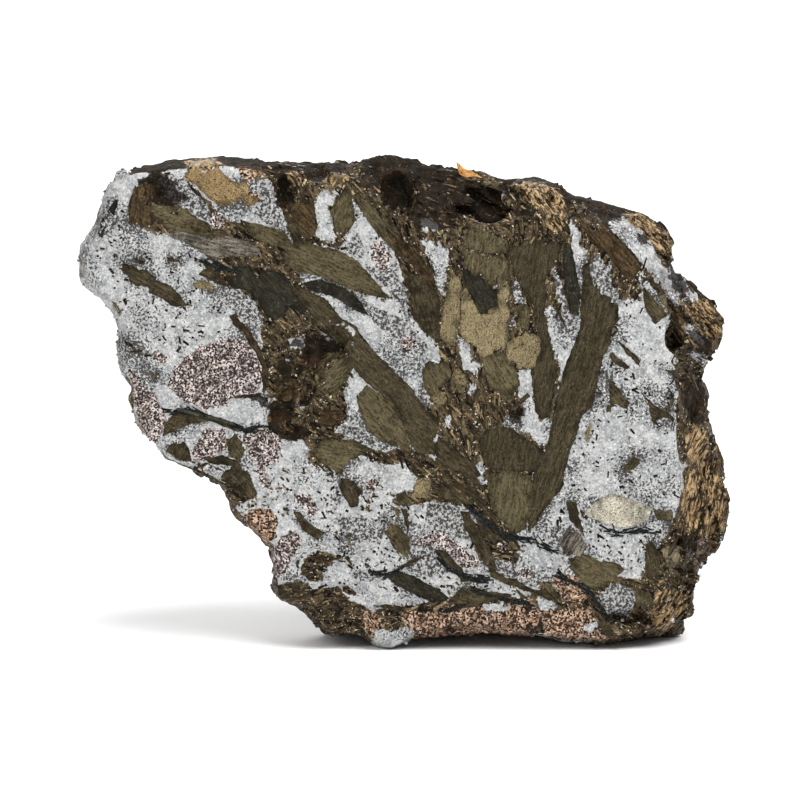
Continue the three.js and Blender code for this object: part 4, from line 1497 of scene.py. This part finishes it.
class SPECIMEN_OT_splinters(bpy.types.Operator):
    """Strews broken laths over the brown ground, the rim, the hollows and the back"""

    bl_idname = "specimen.splinters"
    bl_label = "Splinters"

    def execute(self, context):
        dice = self.dice = random.Random(context.scene.specimen.seed + 1)
        self.surface = rock_surface()
        self.corners, self.faces, self.tones, self.grain = [], [], [], []
        for point in self.points_in(BROWN_GROUND, BROWN_LATHS):
            degrees = float(fan_grain(point[None])[0]) + dice.gauss(0, 16)
            self.front_lath(point, degrees, dice.choice((0.8, 1.2, 1.8, 2.6, 3.6)))
        for point in self.points_in(BUSY_MATRIX, BUSY_LATHS):
            self.front_lath(point, dice.gauss(-32, 40), dice.choice((0.3, 0.4, 0.5, 0.7, 1.0)))
        for point in self.points_in(OPEN_MATRIX, OPEN_LATHS):
            self.front_lath(point, dice.gauss(-40, 50), dice.choice((0.3, 0.4, 0.6, 0.9, 1.4)), DARK_LATH)
        for degrees, shine, text in RIM_GRAIN:
            zone = outline(text)
            spread = np.ptp(zone, axis=0)
            for _ in range(int(np.prod(spread) / POINTS_PER_RIM_LATH)):
                point = zone.min(axis=0) + spread * np.array((dice.random(), dice.random()))
                self.rim_lath(point, degrees + dice.gauss(0, 8), shine)
        for place, normal in self.places_behind(REAR_LATHS):
            size = (dice.uniform(1.8, 5) * MM, dice.uniform(0.4, 1.2) * MM, RIM_LATH_THICKNESS)
            self.add_lath(place, normal, patch_run(place), size, dice.uniform(-0.45, -0.05) * MM, 3)
        piece = piece_from("splinters", self.corners, self.faces)
        mark_splinters(piece.data, self.tones, self.grain)
        settle(piece, blade_material("splinter bronze", **SPLINTER_TONE))
        return {"FINISHED"}

    def points_in(self, zones, count):
        """Picture points in some zones, clear of white gaps, grainy patches and the large blades."""
        dice = self.dice
        points = np.array([(dice.uniform(80, 735), dice.uniform(156, 652)) for _ in range(6 * count)])
        grainy = depth_in_any(points, WHITE_GAPS + PINK_PATCHES + SPECKLED + RUST_PATCHES + BLACK_HOLLOWS)
        blades = depth_in_any(points, blade_outlines())
        good = (depth_in_any(points, zones) > 0.2) & (grainy < -0.3) & (blades < 0.2)
        return points[good][:count]

    def places_behind(self, count):
        """Places on the sides and the back where blades show."""
        vertices = finished_rock().data.vertices
        found = []
        while len(found) < count:
            vertex = vertices[self.dice.randrange(len(vertices))]
            hidden = -vertex.normal.dot(SIGHT) < 0.3 and vertex.co.y - LOW.y > 1.5 * MM
            if hidden and vertex.co.z > 1.5 * MM and bladedness(vertex.co) > -0.06:
                found.append((vertex.co.copy(), vertex.normal.copy()))
        return found

    def front_lath(self, point, degrees, length, bright=None):
        """A lath on the front: flush in the ground face, standing out where the stone is broken."""
        place, normal, _, _ = self.surface.ray_cast(place_in_front(point), SIGHT)
        if place is None:
            return
        flush = place.y - LOW.y < 0.3 * MM
        size = (length * MM, self.dice.uniform(0.2, 0.6) * MM, LATH_THICKNESS)
        rise = self.dice.uniform(0.015, 0.04) * MM if flush else self.dice.uniform(-0.2, 0.12) * MM
        tilt = 0.8 if flush else 10
        self.add_lath(place, normal, run_at(math.radians(degrees)), size, rise, tilt, bright)

    def rim_lath(self, point, degrees, shine):
        """A thin lath bedded in the broken rim, black or golden."""
        dice = self.dice
        place, normal, _, _ = self.surface.ray_cast(place_in_front(point), SIGHT)
        if place is None or place.y - LOW.y < 0.6 * MM or depth_in_any(point[None], WHITE_RIM)[0] > 0:
            return
        size = (dice.uniform(2.5, 8) * MM, dice.uniform(0.15, 0.55) * MM, RIM_LATH_THICKNESS)
        bright = dice.uniform(0.5, 2.6) if dice.random() < shine else dice.uniform(-0.45, 0.1)
        rise = dice.uniform(-0.3, 0.04) * MM
        self.add_lath(place, normal, run_at(math.radians(degrees)), size, rise, 2.5, bright)

    def bedded_length(self, place, run, length):
        """The lath's length, cut until neither end stands clear of the stone."""
        while length > 0.2 * MM:
            clear = 0.0
            for end in (place - run * length / 2, place + run * length / 2):
                nearest, normal, _, _ = self.surface.find_nearest(end)
                gap = end - nearest
                if gap.dot(normal) > -0.6 * gap.length:
                    clear = max(clear, gap.length)
            if clear < 0.3 * MM:
                break
            length *= 0.7
        return length

    def add_lath(self, place, normal, run, size, rise, tilt, bright=None):
        """Adds one lath, tilted by some degrees at most, with its top a little above the surface."""
        dice = self.dice
        run = (run - normal * run.dot(normal)).normalized()
        run = (run + normal * math.tan(math.radians(dice.uniform(-tilt, tilt)))).normalized()
        side = normal.cross(run).normalized()
        side = (side + normal * math.tan(math.radians(dice.uniform(-tilt, tilt)))).normalized()
        up = run.cross(side).normalized()
        centre = place + normal * (rise - size[2] / 2)
        length = self.bedded_length(place, run, size[0])
        if length < 0.25 * MM:
            return
        corners, faces = lath_shape(length, size[1], size[2], dice)
        placed = [centre + run * x + side * y + up * z for x, y, z in corners]
        if min(corner.z for corner in placed) < LOW.z + 0.1 * MM:
            return
        first = len(self.corners)
        start = dice.uniform(0, GRAIN_RANGE)
        self.corners += placed
        self.grain += [(x / MM, y / MM, start) for x, y, _ in corners]
        self.faces += [tuple(first + i for i in face) for face in faces]
        if bright is None:
            # A random tone, partly painted light: the brightest choices paint glints on the broken laths.
            bright = dice.choice((-0.45, -0.35, -0.2, -0.05, 0.1, 0.3, 0.5, 0.9, 2.4))
        self.tones += [bright] * len(faces)


class SPECIMEN_OT_amber(bpy.types.Operator):
    """Stands one honey-coloured splinter on the top edge"""

    bl_idname = "specimen.amber"
    bl_label = "Amber splinter"

    def execute(self, context):
        shape = outline(AMBER_SPLINTER)
        below = shape.mean(axis=0) + np.array((0, 6))
        foot = rock_surface().ray_cast(place_in_front(below), SIGHT)[0]
        if foot is None:
            raise RuntimeError("The top edge does not reach the foot of the amber splinter")
        piece = flat_polygon(len(shape))
        rename(piece, "amber_splinter")
        mesh = piece.data
        for vertex, point in zip(mesh.vertices, shape):
            start = place_in_front(point)
            vertex.co = start + SIGHT * ((foot.y + 0.2 * MM - start.y) / SIGHT.y)
        bpy.ops.object.mode_set(mode="EDIT")
        bpy.ops.mesh.select_all(action="SELECT")
        bpy.ops.mesh.extrude_region_move(TRANSFORM_OT_translate={"value": AMBER_DEPTH})
        bpy.ops.mesh.select_all(action="SELECT")
        bpy.ops.mesh.normals_make_consistent(inside=False)
        bpy.ops.mesh.bevel(offset=0.12 * MM, segments=1, affect="EDGES")
        bpy.ops.object.mode_set(mode="OBJECT")
        mark_splinters(mesh, np.full(len(mesh.polygons), 0.5), vertex_arrays(mesh)[0] / MM)
        settle(piece, blade_material("honey", **HONEY_TONE))
        return {"FINISHED"}


class SPECIMEN_OT_needles(bpy.types.Operator):
    """Lays strands of black needles along lines in the ground face"""

    bl_idname = "specimen.needles"
    bl_label = "Needles"

    def execute(self, context):
        dice = random.Random(context.scene.specimen.seed + 2)
        surface = rock_surface()
        corners, faces = [], []
        for text in NEEDLE_STRANDS:
            line = outline(text)
            for start, end in zip(line[:-1], line[1:]):
                for _ in range(max(4, int(np.linalg.norm(end - start) / POINTS_PER_NEEDLE))):
                    point = start + (end - start) * dice.random()
                    point = point + np.array((dice.uniform(-2, 2), dice.gauss(0, 1.7)))
                    place = surface.ray_cast(place_in_front(point), SIGHT)[0]
                    if place is None or place.y - LOW.y > 0.5 * MM:
                        continue
                    turn = math.atan2(start[1] - end[1], end[0] - start[0]) + dice.gauss(0, 0.25)
                    made, sides = self.needle(place, run_at(turn), dice)
                    faces += [tuple(len(corners) + i for i in face) for face in sides]
                    corners += made
        settle(piece_from("needles", corners, faces), needle_material())
        return {"FINISHED"}

    def needle(self, place, run, dice):
        """One needle that stands a little out of the ground face: corners and faces."""
        side = Vector((-run.z, 0, run.x))
        length = dice.uniform(1.5, 4) * MM
        width = dice.uniform(0.12, 0.42) * MM
        made, sides = lath_shape(length, width, LATH_THICKNESS, dice)
        rise = dice.uniform(0.05, 0.16) * MM - LATH_THICKNESS / 2
        return [place + run * x + side * y - Vector((0, z + rise, 0)) for x, y, z in made], sides


class SPECIMEN_OT_crumbs(bpy.types.Operator):
    """Strews grains of matrix along the broken edges"""

    bl_idname = "specimen.crumbs"
    bl_label = "Crumbs"

    def execute(self, context):
        dice = random.Random(context.scene.specimen.seed + 3)
        rock = finished_rock().data
        marks = ("pink", "bronze", "broken", "black")
        pink, bronze, broken, black = (rock.attributes[name].data for name in marks)
        shape, sides = self.ball()
        corners, faces, tints = [], [], []
        while len(faces) < CRUMBS * len(sides):
            i = dice.randrange(len(rock.vertices))
            place = rock.vertices[i].co
            if broken[i].value < 0.5 or place.z < 1.2 * MM:
                continue
            # Crumbs keep off the bronze and off the painted shade.
            if max(bronze[i].value, black[i].value) > -0.4:
                continue
            size = dice.uniform(0.2, 0.55) * MM
            stretch = np.array([dice.uniform(0.7, 1.3) for _ in range(3)])
            jag = np.array([[dice.uniform(0.75, 1.2)] for _ in shape])
            faces += [tuple(len(corners) + k for k in face) for face in sides]
            corners += [tuple(corner) for corner in shape * stretch * jag * size + np.array(place)]
            tint = PINK_CRUMB if pink[i].value > 0 else dice.choice(PALE_CRUMBS)
            tints += [tint] * len(sides)
        piece = piece_from("crumbs", corners, faces)
        colours = piece.data.attributes.new("tint", "FLOAT_COLOR", "FACE")
        colours.data.foreach_set("color", np.array(tints, dtype=np.float32).ravel())
        settle(piece, crumb_material())
        return {"FINISHED"}

    def ball(self):
        """Corners and faces of a ball with 20 sides."""
        bpy.ops.object.select_all(action="DESELECT")
        bpy.ops.mesh.primitive_ico_sphere_add(subdivisions=1, radius=1)
        ball = bpy.context.view_layer.objects.active
        corners = np.array([vertex.co[:] for vertex in ball.data.vertices])
        sides = [tuple(face.vertices) for face in ball.data.polygons]
        bpy.data.objects.remove(ball)
        return corners, sides


class SPECIMEN_OT_stage(bpy.types.Operator):
    """Sets up the pale floor, the soft lights and the camera"""

    bl_idname = "specimen.stage"
    bl_label = "Stage"

    def execute(self, context):
        settings = context.scene.specimen
        bpy.ops.object.select_all(action="DESELECT")
        bpy.ops.mesh.primitive_plane_add(size=FLOOR_SIZE)
        floor = context.view_layer.objects.active
        floor.name = "floor"
        floor.data.materials.append(floor_material(settings))
        for name, place, target, size, share in LAMPS:
            self.lamp(context, name, Vector(place), Vector(target), size, share * settings.lamp)
        world = bpy.data.worlds.new("soft room")
        world.use_nodes = True
        world.node_tree.nodes["Background"].inputs["Color"].default_value = (1, 1, 1, 1)
        world.node_tree.nodes["Background"].inputs["Strength"].default_value = settings.sky
        context.scene.world = world
        context.scene.view_settings.view_transform = "Standard"
        self.camera(context)
        return {"FINISHED"}

    def lamp(self, context, name, place, target, size, power):
        """A square soft light that looks at a target."""
        data = bpy.data.lights.new(name, "AREA")
        data.shape = "SQUARE"
        data.size = size
        data.energy = power
        lamp = bpy.data.objects.new(name, data)
        lamp.location = place
        lamp.rotation_euler = (target - place).to_track_quat("-Z", "Y").to_euler()
        context.collection.objects.link(lamp)

    def camera(self, context):
        """A long lens that sees the specimen as the outlines were read."""
        data = bpy.data.cameras.new("camera")
        data.lens = data.sensor_width * CAMERA_DISTANCE / (PICTURE_SIZE / POINTS_PER_MM * MM)
        camera = bpy.data.objects.new("camera", data)
        middle = place_in_front((PICTURE_SIZE / 2, PICTURE_SIZE / 2)) + SIGHT * STAND_OFF
        camera.location = middle - SIGHT * CAMERA_DISTANCE
        camera.rotation_euler = SIGHT.to_track_quat("-Z", "Y").to_euler()
        context.collection.objects.link(camera)
        context.scene.camera = camera


class SPECIMEN_PT_panel(bpy.types.Panel):
    """Sizes and colours of the specimen, and the steps that make it"""

    bl_idname = "SPECIMEN_PT_panel"
    bl_label = "Specimen"
    bl_space_type = "VIEW_3D"
    bl_region_type = "UI"
    bl_category = "Specimen"

    def draw(self, context):
        settings = context.scene.specimen
        for name in settings.__annotations__:
            self.layout.prop(settings, name)
        for step in STEPS:
            self.layout.operator(step.bl_idname)


STEPS = (
    SPECIMEN_OT_rock,
    SPECIMEN_OT_blades,
    SPECIMEN_OT_splinters,
    SPECIMEN_OT_amber,
    SPECIMEN_OT_needles,
    SPECIMEN_OT_crumbs,
    SPECIMEN_OT_stage,
)
CLASSES = (SpecimenSettings, *STEPS, SPECIMEN_PT_panel)


def register():
    for made in CLASSES:
        bpy.utils.register_class(made)
    bpy.types.Scene.specimen = PointerProperty(type=SpecimenSettings)


def unregister():
    del bpy.types.Scene.specimen
    for made in reversed(CLASSES):
        bpy.utils.unregister_class(made)


def main():
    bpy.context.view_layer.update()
    register()
    bpy.ops.specimen.rock()
    bpy.ops.specimen.blades()
    bpy.ops.specimen.splinters()
    bpy.ops.specimen.amber()
    bpy.ops.specimen.needles()
    bpy.ops.specimen.crumbs()
    bpy.ops.specimen.stage()


if __name__ == "__main__":
    main()
